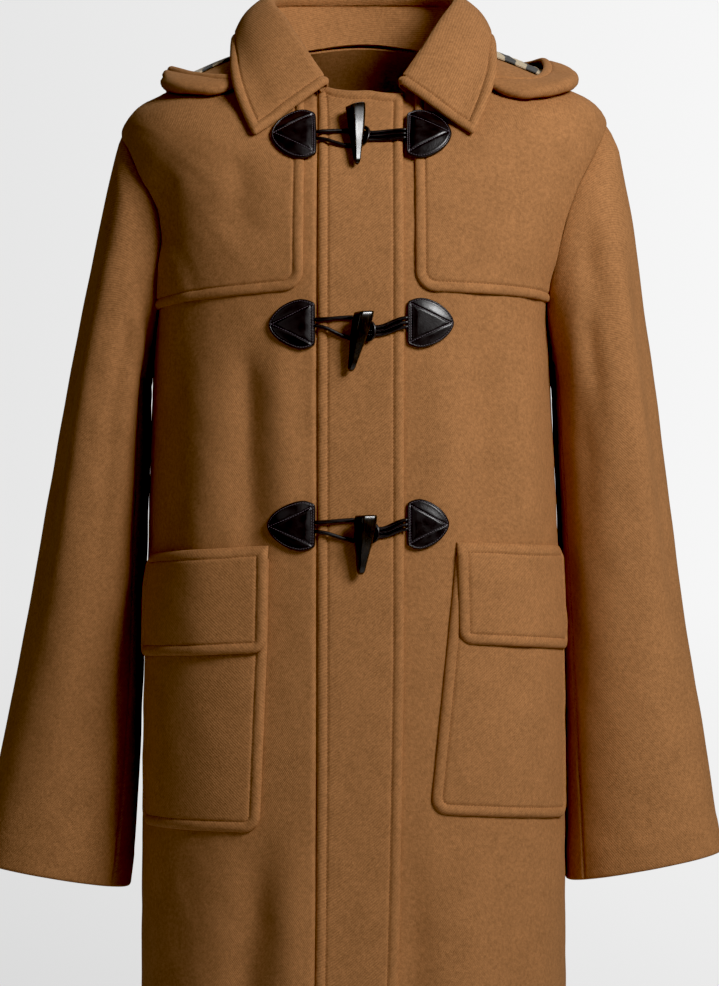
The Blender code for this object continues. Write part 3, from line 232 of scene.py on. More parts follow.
LEFT_HOOD = (
    (0.7, 0.62, 0.75, -98, -73, -23, 1.0, 1.5, 1),
    (0.76, 0.64, 1.4, -117, -68, -24.5, 1.6, 1.8, 2),
    (0.82, 0.71, 1.56, -133, -66, -26.5, 2.0, 3.2, 3),
    (0.88, 0.79, 1.58, -150, -60, -27, 2.2, 4.8, 4),
    (0.94, 0.875, 1.52, -163, -30, -17, 2.0, 5.2, 5),
    (1.0, 0.97, 1.44, -163, 5, -2, 5.0, 5.4, 5),
    (1.12, 1.1, 1.41, -148, 42, -2, 10.5, 5.6, 6),
    (1.3, 1.3, 2.0, -128, 86, 2, 12.0, 6.5, 9),
    (1.52, 1.54, 3.2, -104, 126, 7, 8.5, 6.5, 20),
    (1.76, 1.76, 4.15, -58, 150, 10, 5.0, 6.5, 26),
    (2.0, 2.0, 4.55, 0, 157, 11, 4.5, 6.5, 28),
)
HOOD = {-1: RIGHT_HOOD, 1: LEFT_HOOD}
HOOD_LIFT = 7.6
LINING_EASE = 0.6            # the lining lies this much off the hood's cloth
LINING_FIRST_SECTION = 6     # it starts at this section of each half
FACING = 26                  # the hood's own cloth shows this far inside the rim

# ---------------------------------------------------------------- the lines that divide each front
LINE_COLUMNS = ("neckline", "yoke", "flap_top", "flap_low", "under_flap", "pocket_low", "hem")
RIGHT_LINES = (
    (-37.6, -37.6, -37.6, -37.6, -37.6, -38.5, -41.0),     # seam with the placket
    (-49, -49, -56, -57, -57, -60, -62),                   # upright edge of the yoke
    (-58, -69, -79, -80.5, -81, -87, -92),                 # inner edge of pocket and flap
)
LEFT_LINES = (
    (-24, -24, -24, -24, -24, -24, -26),                   # hidden edge under the placket
    (8, 8, 8, 8, 8, 6, 4),                                 # middle of the placket
    (39, 39, 39, 39, 39, 37, 28),                          # free edge of the placket
    (49, 49, 58, 58, 56, 50, 45),                          # upright edge of the yoke
    (58, 69, 84, 86, 77, 63, 66),                          # inner edge of pocket and flap
)
RIGHT_ROWS = {"flap_top": (-446, -458), "pocket_top": (-458, -470), "flap_low": (-540, -551),
              "under_flap": (-552, -563), "pocket_low": (-700, -701)}
LEFT_ROWS = {"flap_top": (-443, -450), "pocket_top": (-455, -462), "flap_low": (-529, -545),
             "under_flap": (-541, -557), "pocket_low": (-676, -697)}
YOKE_LOW_Z = -225
POCKET_SIDE = 0.8            # outer edge of pocket and flap, as a share of the quarter turn
UNDERARM_SHARE = 0.3
HEM_EVENING = 0.4
FREE_CELL = 0.12
POCKET_PUFF = 4.0
FLAP_EASE = 0.2              # a flap lies this much freer than its pocket
POCKET_LEAN_TOP, POCKET_LEAN = 84.0, 0.0995   # inner edge of the left pocket: x at its top, and its slope

# ---------------------------------------------------------------- fastenings
FASTENING_COLUMNS = ("tab_z", "toggle_x", "toggle_top_z", "lean", "loop_z", "seat", "left_reach")
FASTENINGS = (
    (-88, -3, -64, 1, -86, -0.8, 1.0),
    (-254, 2, -244, -12, -257, 0.15, 1.0),
    (-431, 5, -422, -5, -435, 0.15, 0.88),
)
# height of the loop's two strands at the tab and at the toggle, and of the toggle's own cord
CORD_COLUMNS = ("upper_tab_z", "upper_z", "lower_tab_z", "lower_z", "cord_tab_z", "cord_z",
                "breadth", "slant")          # and the breadth and the slanting cut of each toggle
CORDS = (
    (-86, -83.6, -92.4, -98, -88, -88.8, 0.95, 2.2),
    (-250, -248, -255.4, -267, -252.5, -260, 0.96, 0.6),
    (-428, -425.7, -436, -444.5, -430, -437, 1.06, 0.3),
)
RIGHT_TAB_EDGE = -38.5
LEFT_TAB_EDGE = 41.5
LEFT_TAB_RISE = 1.5          # the left tabs sit this much above the right ones
TOGGLE_LENGTH = 52.0
TOGGLE_HALF = 9.6            # half the width of the toggle's cut end


# ================================================================ small tools
def columns(names, rows):
    """A table as one array of numbers for each named column."""
    return {name: np.array([row[i] for row in rows], float) for i, name in enumerate(names)}


def record(names, row):
    return dict(zip(names, row))


def smooth(values, at):
    """Rows of an array between its whole places, on a smooth curve through them."""
    values = np.asarray(values, float)
    last = len(values) - 1
    at = np.clip(np.asarray(at, float), 0, last)
    low = np.minimum(at.astype(int), last - 1)
    spread = at.shape + (1,) * (values.ndim - 1)
    t = (at - low).reshape(spread)
    start, end = values[low], values[low + 1]
    before, after = values[np.maximum(low - 1, 0)], values[np.minimum(low + 2, last)]
    slope_start = np.where((low > 0).reshape(spread), (end - before) / 2, end - start)
    slope_end = np.where((low + 1 < last).reshape(spread), (after - start) / 2, end - start)
    return ((2 * t**3 - 3 * t**2 + 1) * start + (t**3 - 2 * t**2 + t) * slope_start
            + (3 * t**2 - 2 * t**3) * end + (t**3 - t**2) * slope_end)


def finer(grid, factor):
    """A grid with smooth rows and columns between the given ones."""
    rows = smooth(grid, np.linspace(0, len(grid) - 1, (len(grid) - 1) * factor + 1))
    turned = np.swapaxes(rows, 0, 1)
    across = smooth(turned, np.linspace(0, len(turned) - 1, (len(turned) - 1) * factor + 1))
    return np.swapaxes(across, 0, 1)


def ease(t):
    t = np.clip(t, 0, 1)
    return t * t * (3 - 2 * t)


def unit(vectors):
    return vectors / np.maximum(np.linalg.norm(vectors, axis=-1, keepdims=True), 1e-9)


def bell(distance, half_width):
    return np.exp(-(distance / half_width) ** 2)


RIPPLE_WAVES = 9


def ripple(points, wavelength, seed):
    """Gentle unevenness of about plus or minus one, over lengths of about the wavelength."""
    random = np.random.default_rng(seed)
    total = np.zeros(points.shape[:-1])
    for direction in unit(random.normal(size=(RIPPLE_WAVES, 3))):
        wave = 2 * math.pi / (wavelength * random.uniform(0.7, 1.6))
        total += np.sin(points @ direction * wave + random.uniform(0, 2 * math.pi))
    return total / math.sqrt(RIPPLE_WAVES)


def grid_normals(grid):
    return unit(np.cross(np.gradient(grid, axis=0), np.gradient(grid, axis=1)))


def lengths(grid, axis):
    """Distance along each line of a grid from its start."""
    steps = np.linalg.norm(np.diff(grid, axis=axis), axis=-1)
    pad = [(0, 0), (0, 0)]
    pad[axis] = (1, 0)
    return np.pad(np.cumsum(steps, axis=axis), pad)


# ================================================================ the skin
RING = columns(RING_COLUMNS, RINGS)
ARM = columns(ARMHOLE_COLUMNS, ARMHOLE)
INSET = {FRONT: np.interp(ARMHOLE_STEPS, ARM["down"], ARM["front"]),
         BACK: np.interp(ARMHOLE_STEPS, ARM["down"], ARM["back"])}
FINE_STEPS = np.interp(np.linspace(0, len(ARMHOLE_STEPS) - 1, 3 * len(ARMHOLE_STEPS) - 2),
                       range(len(ARMHOLE_STEPS)), ARMHOLE_STEPS)


def bare_skin(around, down):
    """A point of the body with no folds and no lift."""
    angle = around * math.pi / 2
    sine, cosine = np.sin(angle), np.cos(angle)
    value = {name: smooth(RING[name], down) for name in RING_COLUMNS}
    right = sine < 0
    half = np.where(right, value["half_right"], value["half_left"])
    depth = np.where(cosine > 0, -value["front_y"], value["back_y"])
    power = value["squareness"]
    reach = ((np.abs(sine) / half) ** power + (np.abs(cosine) / depth) ** power) ** (-1 / power)
    side_z = np.where(right, value["side_right_z"], value["side_left_z"])
    end_z = np.where(cosine > 0, value["front_z"], value["back_z"])
    height = side_z + (end_z - side_z) * cosine**2
    shift = CENTRE_SHIFT * np.clip(1 - down / 2, 0, 1)
    return np.stack([reach * sine + shift, -reach * cosine, height], axis=-1)


def fold_height(points):
    """How far the folds raise or sink the cloth at a point of the bare skin."""
    total = np.zeros(points.shape[:-1])
    for row in FOLDS:
        fold = record(FOLD_COLUMNS, row)
        share = (fold["top_z"] - points[..., 2]) / (fold["top_z"] - fold["low_z"])
        line_x = fold["top_x"] + (fold["low_x"] - fold["top_x"]) * share
        start = ease(share / FOLD_FADE)
        end = 1.0 if fold["low_z"] < RINGS[HEM_RING][0] else ease((1 - share) / FOLD_FADE)
        width = fold["half_width"] * (0.75 + 0.5 * np.clip(share, 0, 1))
        on_face = ease(points[..., 1] * fold["face"] / FOLD_FACE_DEPTH)
        total += fold["height"] * bell(points[..., 0] - line_x, width) * start * end * on_face
    return total


def normal_of(surface, around, down):
    step = 0.004
    along = surface(around + step, down) - surface(around - step, down)
    below = surface(around, np.minimum(down + step, HEM_RING)) - surface(around, np.maximum(down - step, 0))
    return unit(np.cross(below, along))


def creased_skin(around, down):
    flat = bare_skin(around, down)
    return flat + normal_of(bare_skin, around, down) * fold_height(flat)[..., None]


def skin(around, down, lift=0.0):
    """A point of the body, `lift` above its skin."""
    around, down, lift = (np.array(a, float) for a in np.broadcast_arrays(around, down, lift))
    return creased_skin(around, down) + normal_of(creased_skin, around, down) * lift[..., None]


def solve(goal, value_of, low, high):
    """The argument between low and high at which a falling or rising value meets its goal."""
    low, high = np.zeros_like(goal) + low, np.zeros_like(goal) + high
    rising = value_of(high) > value_of(low)
    for _ in range(26):
        middle = (low + high) / 2
        under = (value_of(middle) < goal) == rising
        low, high = np.where(under, middle, low), np.where(under, high, middle)
    return (low + high) / 2


def around_at(x, down):
    x, down = np.broadcast_arrays(np.asarray(x, float), np.asarray(down, float))
    return solve(x, lambda a: bare_skin(a, down)[..., 0], -0.98, 0.98)


def on_front(x, z):
    """Where the front of the skin has this x and z."""
    x, z = np.broadcast_arrays(np.asarray(x, float), np.asarray(z, float))
    down = np.full(x.shape, 4.0)
    for _ in range(6):
        around = around_at(x, down)
        down = solve(z, lambda d: bare_skin(around, d)[..., 2], 0.0, float(HEM_RING))
    return around_at(x, down), down


def armhole_inset(down, face):
    """How far the armhole seam lies in from the side, as a share of a quarter turn."""
    return smooth(INSET[face], np.interp(down, ARMHOLE_STEPS, range(len(ARMHOLE_STEPS))))


def setback(down):
    """The share of a quarter turn that makes half a seam gap."""
    return (GAP / 2 + 0.05) / (smooth(RING["half_right"], down) * math.pi / 2)


def placket_seam_x(z):
    share = ease((PLACKET_LEAN_TOP_Z - z) / PLACKET_LEAN_DROP)
    return PLACKET_LEFT_X + (PLACKET_SEAM_LOW_X - PLACKET_LEFT_X) * share


def near_placket_rise(points):
    """The right front climbs to the placket's level along its seam, and what lies on it climbs too."""
    return PLACKET_RISE * ease(1 - np.abs(points[..., 0] - PLACKET_LEFT_X) / PLACKET_RISE_WIDTH)


class FrontGrid:
    """Rows and columns that a front shares with its yoke, pocket, flap and placket."""

    def __init__(self, side):
        self.side = side
        self.lines = columns(LINE_COLUMNS, RIGHT_LINES if side < 0 else LEFT_LINES)
        self.levels = RIGHT_ROWS if side < 0 else LEFT_ROWS
        self.row = {}
        self.rows = []
        self.count = len(RIGHT_LINES if side < 0 else LEFT_LINES)
        self.spread = self.count + 8
        self.build()

    def lines_x(self, place):
        """x of each dividing line at a named place, or between two of them: (first, second, share)."""
        if isinstance(place, str):
            return self.lines[place]
        first, second, share = place
        return self.lines[first] + (self.lines[second] - self.lines[first]) * share

    def add_row(self, down, place, name=None, spread_out=0.0):
        share = np.linspace(0, 1, self.spread - self.count + 1)
        down = down * np.ones(self.spread)
        x = self.lines_x(place).copy()
        if self.side < 0:
            x[0] = placket_seam_x(bare_skin(0.0, down[0])[2]) - GAP
        around = np.empty(self.spread)
        around[:self.count] = around_at(x, down[:self.count])
        last = around[self.count - 1]
        edge = self.side * (1 - armhole_inset(down[-1], FRONT) - setback(down[-1]))
        evenly = last + (edge - last) * share
        to_pocket = np.concatenate([np.linspace(0, 1, len(share) - 1), [1.0]])
        to_pocket[1], to_pocket[-3] = FREE_CELL, 1 - FREE_CELL
        with_pocket = last + (self.side * POCKET_SIDE - last) * to_pocket
        with_pocket[-1] = edge
        around[self.count - 1:] = evenly + (with_pocket - evenly) * spread_out
        if name:
            self.row[name] = len(self.rows)
        self.rows.append((around, down))

    def level(self, name, place):
        """How far down a named level line lies at each column."""
        goal = np.linspace(*self.levels[name], self.spread)
        down = np.full(self.spread, 7.0)
        around = np.empty(self.spread)
        for _ in range(3):
            around[:self.count] = around_at(self.lines_x(place), down[:self.count])
            beyond = np.linspace(around[self.count - 1], self.side, self.spread - self.count + 1)
            around[self.count:] = beyond[1:]
            down = solve(goal, lambda d: bare_skin(around, d)[..., 2], 4.0, float(HEM_RING))
        return down

    def yoke_low(self):
        down = np.full(self.spread, YOKE_LOW_STEP)
        x = self.lines_x("yoke")
        goal = np.full(len(x), float(YOKE_LOW_Z))
        down[:len(x)] = solve(goal, lambda d: bare_skin(around_at(x, d), d)[..., 2], 2.0, 6.0)
        down[len(x) - 1:] = np.linspace(down[len(x) - 1], YOKE_LOW_STEP, self.spread - len(x) + 1)
        return down

    def between(self, first, second, goal, shares):
        """Rows from the last one down to a goal row, which gets the name of the second place."""
        start = self.rows[-1][1]
        for share in shares:
            spread_out = 1.0
            if second == "flap_top":
                spread_out = UNDERARM_SHARE + (1 - UNDERARM_SHARE) * share
            if second == "hem":
                spread_out = 1 - HEM_EVENING * share
            name = second if share == 1 else None
            self.add_row(start + (goal - start) * share, (first, second, share), name, spread_out)

    def build(self):
        low = self.yoke_low()
        yoke_end = YOKE_LOW_STEP + 1e-6
        for step in FIRST_STEPS + list(FINE_STEPS[FINE_STEPS < yoke_end]):
            share = step / YOKE_LOW_STEP
            name = "neckline" if step == 0 else "yoke_low" if abs(step - YOKE_LOW_STEP) < 1e-6 else None
            down = low * share
            if step == 0:
                dips = RIGHT_NECK_STEPS if self.side < 0 else LEFT_NECK_STEPS
                down[:len(dips)] = dips
            self.add_row(down, ("neckline", "yoke", min(1.0, share * 1.6)), name)
        for step in FINE_STEPS[FINE_STEPS > yoke_end]:
            share = (step - YOKE_LOW_STEP) / (UNDERARM_RING - YOKE_LOW_STEP)
            part = share * UNDERARM_SHARE
            self.add_row(low + (UNDERARM_RING - low) * share, ("yoke", "flap_top", part), None, part)
        last_cell = 1 - FREE_CELL
        self.between("yoke", "flap_top", self.level("flap_top", "flap_top"),
                     (0.15, 0.3, 0.45, 0.6, 0.8, 1.0))
        self.add_row(self.level("pocket_top", "flap_top"), "flap_top", "pocket_top", 1.0)
        self.between("flap_top", "flap_low", self.level("flap_low", "flap_low"), (0.5, last_cell, 1.0))
        self.add_row(self.level("under_flap", "under_flap"), "under_flap", "under_flap", 1.0)
        self.between("under_flap", "pocket_low", self.level("pocket_low", "pocket_low"),
                     (0.33, 0.66, last_cell, 1.0))
        self.between("pocket_low", "hem", np.full(self.spread, float(HEM_RING)), (FREE_CELL, 0.4, 0.7, 1.0))
        self.around = np.array([around for around, _ in self.rows])
        self.down = np.array([down for _, down in self.rows])

    def block(self, first_row, last_row, first_col, last_col):
        """Part of the grid as around and down, two values a place."""
        rows = slice(self.row[first_row], self.row[last_row] + 1)
        cells = rows, slice(first_col, last_col)
        return np.stack([self.around[cells], self.down[cells]], axis=-1)


# ================================================================ patches and shells
def between_cells(table, row, column):
    """Values of a grid between its whole places, straight from neighbour to neighbour."""
    rows, cols = table.shape[:2]
    row, column = np.clip(row, 0, rows - 1), np.clip(column, 0, cols - 1)
    r, c = np.minimum(row.astype(int), rows - 2), np.minimum(column.astype(int), cols - 2)
    down, right = row - r, column - c
    if table.ndim == 3:
        down, right = down[..., None], right[..., None]
    upper = table[r, c] * (1 - right) + table[r, c + 1] * right
    lower = table[r + 1, c] * (1 - right) + table[r + 1, c + 1] * right
    return upper * (1 - down) + lower * down


class Patch:
    """A stretch of cloth whose places are given in millimetres from its edges."""

    shares = 96

    def __init__(self, points, place):
        self.place = place           # gives a point of the cloth from row, column and lift
        self.across = lengths(points, 1)
        self.along = lengths(points, 0)
        self.rows, self.cols = points.shape[:2]
        share = np.linspace(0, 1, self.shares + 1)
        self.column_of = np.array([np.interp(share * line[-1], line, range(self.cols))
                                   for line in self.across])
        self.row_of = np.array([np.interp(share * line[-1], line, range(self.rows))
                                for line in self.along.T])
        self.width = self.across[:, -1].mean()
        self.height = self.along[-1].mean()

    def find(self, share_across, across, share_along, along):
        """Row, column and distances of places, each a share of the cloth's size and an offset from it."""
        row = (share_along + along / self.height) * (self.rows - 1)
        for _ in range(6):
            width = np.interp(row, range(self.rows), self.across[:, -1])
            x = np.clip(share_across + across / width, 0, 1)
            column = between_cells(self.column_of, row, x * self.shares)
            height = np.interp(column, range(self.cols), self.along[-1])
            y = np.clip(share_along + along / height, 0, 1)
            row = between_cells(self.row_of, column, y * self.shares)
        return row, column, x * width, y * height


def skin_patch(block, extra_lift=None):
    """A patch of the skin from a block of a front's grid."""
    rows, cols = block.shape[:2]
    fine_row = np.linspace(0, rows - 1, (rows - 1) * 4 + 1)
    fine_col = np.linspace(0, cols - 1, (cols - 1) * 5 + 1)
    fine = between_cells(block, *np.meshgrid(fine_row, fine_col, indexing="ij"))

    def place(row, column, lift):
        around, down = np.moveaxis(between_cells(fine, row, column), -1, 0)
        if extra_lift is not None:
            lift = lift + extra_lift(bare_skin(around, down))
        return skin(around, down, lift)

    return Patch(bare_skin(fine[..., 0], fine[..., 1]), place)


def grid_patch(middle, facing=None):
    """A patch of a free form, from a fine grid of points on its middle."""
    normals = grid_normals(middle) if facing is None else facing

    def place(row, column, lift):
        return between_cells(middle, row, column) + between_cells(normals, row, column) * lift[..., None]

    return Patch(middle, place)


# rows of points near an edge, in millimetres from it: an edge with stitches, one with a seam, a folded hem
STATIONS = {
    "stitched": (0, 0.35, 0.9, 1.7, 2.8, 4.2, 5.8, 7.2, 8.1, 8.8, 9.4, 10.0, 10.7, 11.7, 13.4, 16.0),
    "seam": (0, 0.5, 1.2, 2.2, 3.6, 5.6, 8.4),
    "hem": (0, 0.3, 0.8, 1.6, 2.8, 5.0, 8.5, 13.0, 18.0, 23.0, 27.0, 30.0, 33.0, 37.0),
    "plain": (0, 1.0, 3.0),
}
STITCH_DEPTH = 9.4
RIM_ROUNDING = 1.15          # an edge is round over this many thicknesses
RIM_CREST, RIM_HALF_WIDTH = 4.6, 3.2
GROOVE_HALF_WIDTH = 1.15
HEM_STEP, HEM_DEPTH, HEM_FADE = 0.5, 33, 7
SEAM_SINK, SEAM_HALF_WIDTH = 0.75, 1.7
SEAM_RIDGE, SEAM_RIDGE_DEPTH, SEAM_RIDGE_HALF_WIDTH = 0.25, 4.5, 2.5
# gentle unevenness of a cloth's face: height, and the length of its waves
FACE_WAVE, FACE_WAVELENGTH = 0.22, 34
PUCKER, PUCKER_WAVELENGTH, PUCKER_HALF_WIDTH = 0.14, 9, 5
LIVELY_WAVELENGTH, LIVELY_HALF_WIDTH, LIVELY_START = 60, 22, 30


def stations(length, start, end, step):
    """Places along a line as shares of its length and offsets: close together at its ends."""
    first, last = np.array(STATIONS[start], float), np.array(STATIONS[end], float)
    count = max(2, int(round((length - first[-1] - last[-1]) / step)) + 1)
    middle = np.linspace(0, 1, count)[1:-1]
    share = np.concatenate([first * 0, middle, last * 0 + 1])
    offset = np.concatenate([first, first[-1] * (1 - middle) - last[-1] * middle, -last[::-1]])
    return share, offset


def rounded(across, along, radius):
    """Moves places given by their distances from two edges so that the corner between them is round."""
    near = (across < radius) & (along < radius)
    depth = np.minimum(across, along)
    reach = np.maximum(radius - depth, 1e-6)
    on_side = across <= along
    turn = np.where(on_side, (radius - along) / reach, 2 - (radius - across) / reach) * math.pi / 4
    return (np.where(near, radius - reach * np.cos(turn), across),
            np.where(near, radius - reach * np.sin(turn), along))


def edge_height(style, depth, thickness):
    """What an edge does to the height of a cloth's face: as a factor and as an addition."""
    look = bpy.context.scene.coat_sizes
    if style in ("stitched", "hem"):
        roundness = np.clip(depth / (RIM_ROUNDING * thickness), 0, 1)
        factor = 0.1 + 0.9 * np.sqrt(1 - (1 - roundness) ** 2)
        if style == "hem":
            return factor, HEM_STEP * ease((HEM_DEPTH - depth) / HEM_FADE)
        swell = look.rim_swell / MM * bell(depth - RIM_CREST, RIM_HALF_WIDTH)
        return factor, swell - look.groove_depth / MM * bell(depth - STITCH_DEPTH, GROOVE_HALF_WIDTH)
    if style == "seam":
        sunk = SEAM_SINK * bell(depth, SEAM_HALF_WIDTH)
        return 1 - sunk, SEAM_RIDGE * bell(depth - SEAM_RIDGE_DEPTH, SEAM_RIDGE_HALF_WIDTH)
    return np.ones(depth.shape), 0.0


def cut(patch, name, edges, step, thickness, low, corners=(), lively=0.0, finish="napped_wool_twill",
        puff=None, seed=1):
    """Cuts a piece out of a patch, gives it its thickness and its sewn edges, and enters it in the frame.

    edges are the styles of the left, right, top and bottom edge, and corners are (edge, edge, radius). The
    piece lies `low` above the patch, `lively` lifts its free edges unevenly and `puff` fills its middle.
    """
    left, right, top, bottom = edges
    share_a, offset_a = stations(patch.width, left, right, step)
    share_b, offset_b = stations(patch.height, top, bottom, step)
    share_a, share_b = np.meshgrid(share_a, share_b)
    offset_a, offset_b = np.meshgrid(offset_a, offset_b)
    depth = {"left": share_a * patch.width + offset_a, "top": share_b * patch.height + offset_b}
    depth["right"], depth["bottom"] = patch.width - depth["left"], patch.height - depth["top"]
    for side, end, radius in corners:
        across, along = rounded(depth[side], depth[end], radius)
        offset_a = offset_a + (across - depth[side]) * (1 if side == "left" else -1)
        offset_b = offset_b + (along - depth[end]) * (1 if end == "top" else -1)
    row, column, x, y = patch.find(share_a, offset_a, share_b, offset_b)
    styles = {"left": left, "right": right, "top": top, "bottom": bottom}
    height = np.full(x.shape, float(thickness))
    addition = np.zeros(x.shape)
    for style in set(styles.values()):
        nearest = np.min([depth[edge] for edge in styles if styles[edge] == style], axis=0)
        factor, more = edge_height(style, nearest, thickness)
        height, addition = height * factor, addition + more
    sewn = [depth[edge] for edge in styles if styles[edge] != "plain"]
    free = np.min(sewn or list(depth.values()), axis=0)
    place = np.stack([x, y, 0 * x + 40 * seed], axis=-1)
    under = low + 0 * x
    if puff is not None:
        under = under + puff(x / patch.width, y / patch.height)
    raised = np.maximum(0, ripple(place, LIVELY_WAVELENGTH, seed)) * bell(free, LIVELY_HALF_WIDTH)
    under = under + lively * raised * ease(depth["top"] / LIVELY_START)
    wave = FACE_WAVE * ripple(place, FACE_WAVELENGTH, seed + 10) * ease(free / 4)
    drawn = bell(free - STITCH_DEPTH, PUCKER_HALF_WIDTH)
    pucker = PUCKER * ripple(place, PUCKER_WAVELENGTH, seed + 20) * drawn
    face = under + np.maximum(0.2, height + addition + wave + pucker)
    bottom_points = patch.place(row, column, under)
    top_points = patch.place(row, column, face)
    shell(name, bottom_points, top_points, np.stack([x, y], axis=-1), finish)
    sew(top_points, styles)


STITCH_LINES = []


def sew(points, styles):
    """Keeps the stitch lines of a piece: along its stitched edges, in the pressed groove."""
    groove = STATIONS["stitched"].index(STITCH_DEPTH)
    rows, cols = points.shape[:2]
    first = {edge: groove if styles[edge] == "stitched" else 0 for edge in styles}
    left, right = first["left"], cols - 1 - first["right"]
    top, bottom = first["top"], rows - 1 - first["bottom"]
    lines = {"left": points[top:bottom + 1, left], "right": points[top:bottom + 1, right],
             "top": points[top, left:right + 1], "bottom": points[bottom, left:right + 1]}
    STITCH_LINES.extend(lines[edge] for edge in styles if styles[edge] == "stitched")


def new_object(name, points, faces, finish, uv=None):
    mesh = bpy.data.meshes.new(name)
    mesh.from_pydata((points * MM).tolist(), [], faces.tolist() if isinstance(faces, np.ndarray) else faces)
    if uv is not None:
        layer = mesh.uv_layers.new(name="UVMap")
        corners = np.empty(len(mesh.loops), int)
        mesh.loops.foreach_get("vertex_index", corners)
        layer.data.foreach_set("uv", (uv[corners] * MM).astype(np.float32).ravel())
    mesh.materials.append(material(finish))
    mesh.shade_smooth()
    mesh.set_sharp_from_angle(angle=math.radians(60))
    mesh.update()
    body = bpy.data.objects.new(name, mesh)
    bpy.context.scene.collection.objects.link(body)
    return body


def outward(points, faces):
    """The faces turned so that they point out of the closed form that they make."""
    corners = points[faces[:, :3]]
    last = points[faces[:, [0, 2, faces.shape[1] - 1]]]
    volume = sum(np.einsum("ij,ij->i", c[:, 0], np.cross(c[:, 1], c[:, 2])).sum() for c in (corners, last))
    return faces if volume > 0 else faces[:, ::-1]


def shell(name, low, high, uv, finish):
    """A closed sheet of cloth between two grids of points, entered in the frame."""
    rows, cols = high.shape[:2]
    count = rows * cols
    points = np.concatenate([high.reshape(-1, 3), low.reshape(-1, 3)])
    index = np.arange(count).reshape(rows, cols)
    face = np.stack([index[:-1, :-1], index[1:, :-1], index[1:, 1:], index[:-1, 1:]], axis=-1)
    face = face.reshape(-1, 4)
    ring = np.concatenate([index[0], index[1:, -1], index[-1, -2::-1], index[-2:0:-1, 0]])
    following = np.roll(ring, -1)
    rim = np.stack([ring, following, following + count, ring + count], axis=-1)
    faces = outward(points, np.concatenate([face, face[:, ::-1] + count, rim]))
    piece = new_object(name, points, faces, finish, np.tile(uv.reshape(-1, 2), (2, 1)))
    enter(piece, name)


def enter(piece, solid=None):
    """Makes a piece part of the coat, in the place of its solid where it has one."""
    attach(piece, "root")
    if solid:
        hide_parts(solid)


# ================================================================ body, yokes, pockets
GRIDS = {-1: FrontGrid(-1), 1: FrontGrid(1)}
WORD = {-1: "right", 1: "left"}


def make_fronts():
    for side, grid in GRIDS.items():
        block = grid.block("neckline", "hem", 0, grid.spread)
        rise = near_placket_rise if side < 0 else None
        cut(skin_patch(block, rise), f"front_{WORD[side]}", ("seam", "seam", "plain", "hem"), 5.0,
            CLOTH, 0.0, seed=2 + side)


def make_back():
    right, left = GRIDS[-1], GRIDS[1]
    heights_right, heights_left = right.down[:, -1], left.down[:, -1]
    share = np.linspace(0, 1, 25)[None, :]
    down = heights_left[:, None] + (heights_right - heights_left)[:, None] * share
    inset_left = (armhole_inset(heights_left, BACK) + setback(heights_left))[:, None]
    inset_right = (armhole_inset(heights_right, BACK) + setback(heights_right))[:, None]
    around = (1 + inset_left) + (2 - inset_left - inset_right) * share
    above = (np.minimum(down, YOKE_LOW_STEP) / YOKE_LOW_STEP) ** 2
    below = np.clip((BACK_YOKE_FADE - down) / (BACK_YOKE_FADE - YOKE_LOW_STEP), 0, 1)
    down = down + BACK_YOKE_DIP * np.sin(math.pi * share) * above * below
    block = np.stack([around, down], axis=-1)
    seam = right.row["yoke_low"]
    yoke, panel = block[:seam + 1].copy(), block[seam:].copy()
    yoke_ring = int(YOKE_LOW_STEP)
    opened = 0.5 * GAP / abs(RINGS[yoke_ring][0] - RINGS[yoke_ring - 1][0])
    yoke[-1, :, 1] -= opened
    panel[0, :, 1] += opened
    cut(skin_patch(yoke), "back_yoke", ("seam", "seam", "plain", "stitched"), 6.0, CLOTH, 0.0, seed=4)
    cut(skin_patch(panel), "back", ("seam", "seam", "seam", "hem"), 6.0, CLOTH, 0.0, seed=5)


def make_placket():
    grid = GRIDS[1]
    block = grid.block("neckline", "hem", 0, 3)
    seam_x = placket_seam_x(bare_skin(np.zeros(len(block)), block[:, 0, 1])[:, 2]) + GAP
    first = np.stack([around_at(seam_x, block[:, 0, 1]), block[:, 0, 1]], axis=-1)
    block = np.concatenate([first[:, None], block], axis=1)
    cut(skin_patch(block), "placket", ("stitched", "stitched", "stitched", "hem"), 4.0, FOLDED_CLOTH,
        SECOND_LOW, corners=(("right", "top", 3.0),), seed=7)


def make_yokes():
    for side, grid in GRIDS.items():
        block = grid.block("neckline", "yoke_low", grid.count - 2, grid.spread).copy()
        block[:, -1, 0] -= side * 1.5 * setback(block[:, -1, 1])
        block[0, :, 1] = YOKE_TOP_STEP
        rise = near_placket_rise if side < 0 else None
        cut(skin_patch(block, rise), f"yoke_{WORD[side]}", ("stitched", "seam", "plain", "stitched"), 4.0,
            CLOTH, SECOND_LOW, corners=(("left", "bottom", 19.0),), lively=0.9, seed=9 + side)


def pocket_puff(across, along):
    """How far a pocket stands off, fullest in its middle and a little open at its top."""
    upright = np.clip(0.1 + 0.9 * along, 0, 1)
    return POCKET_PUFF * np.sin(math.pi * np.clip(across, 0, 1)) * np.sin(math.pi * upright)


def leaned(block):
    """The left pocket's columns, moved so that its inner edge is straight and shows beside the flap."""
    around, down = block[..., 0], block[..., 1]
    z = bare_skin(around[:, 0], down[:, 0])[:, 2]
    first = around_at(POCKET_LEAN_TOP - POCKET_LEAN * (z[0] - z), down[:, 0])[:, None]
    last = around[:, -1:]
    return first + (around - around[:, :1]) * (last - first) / (last - around[:, :1])


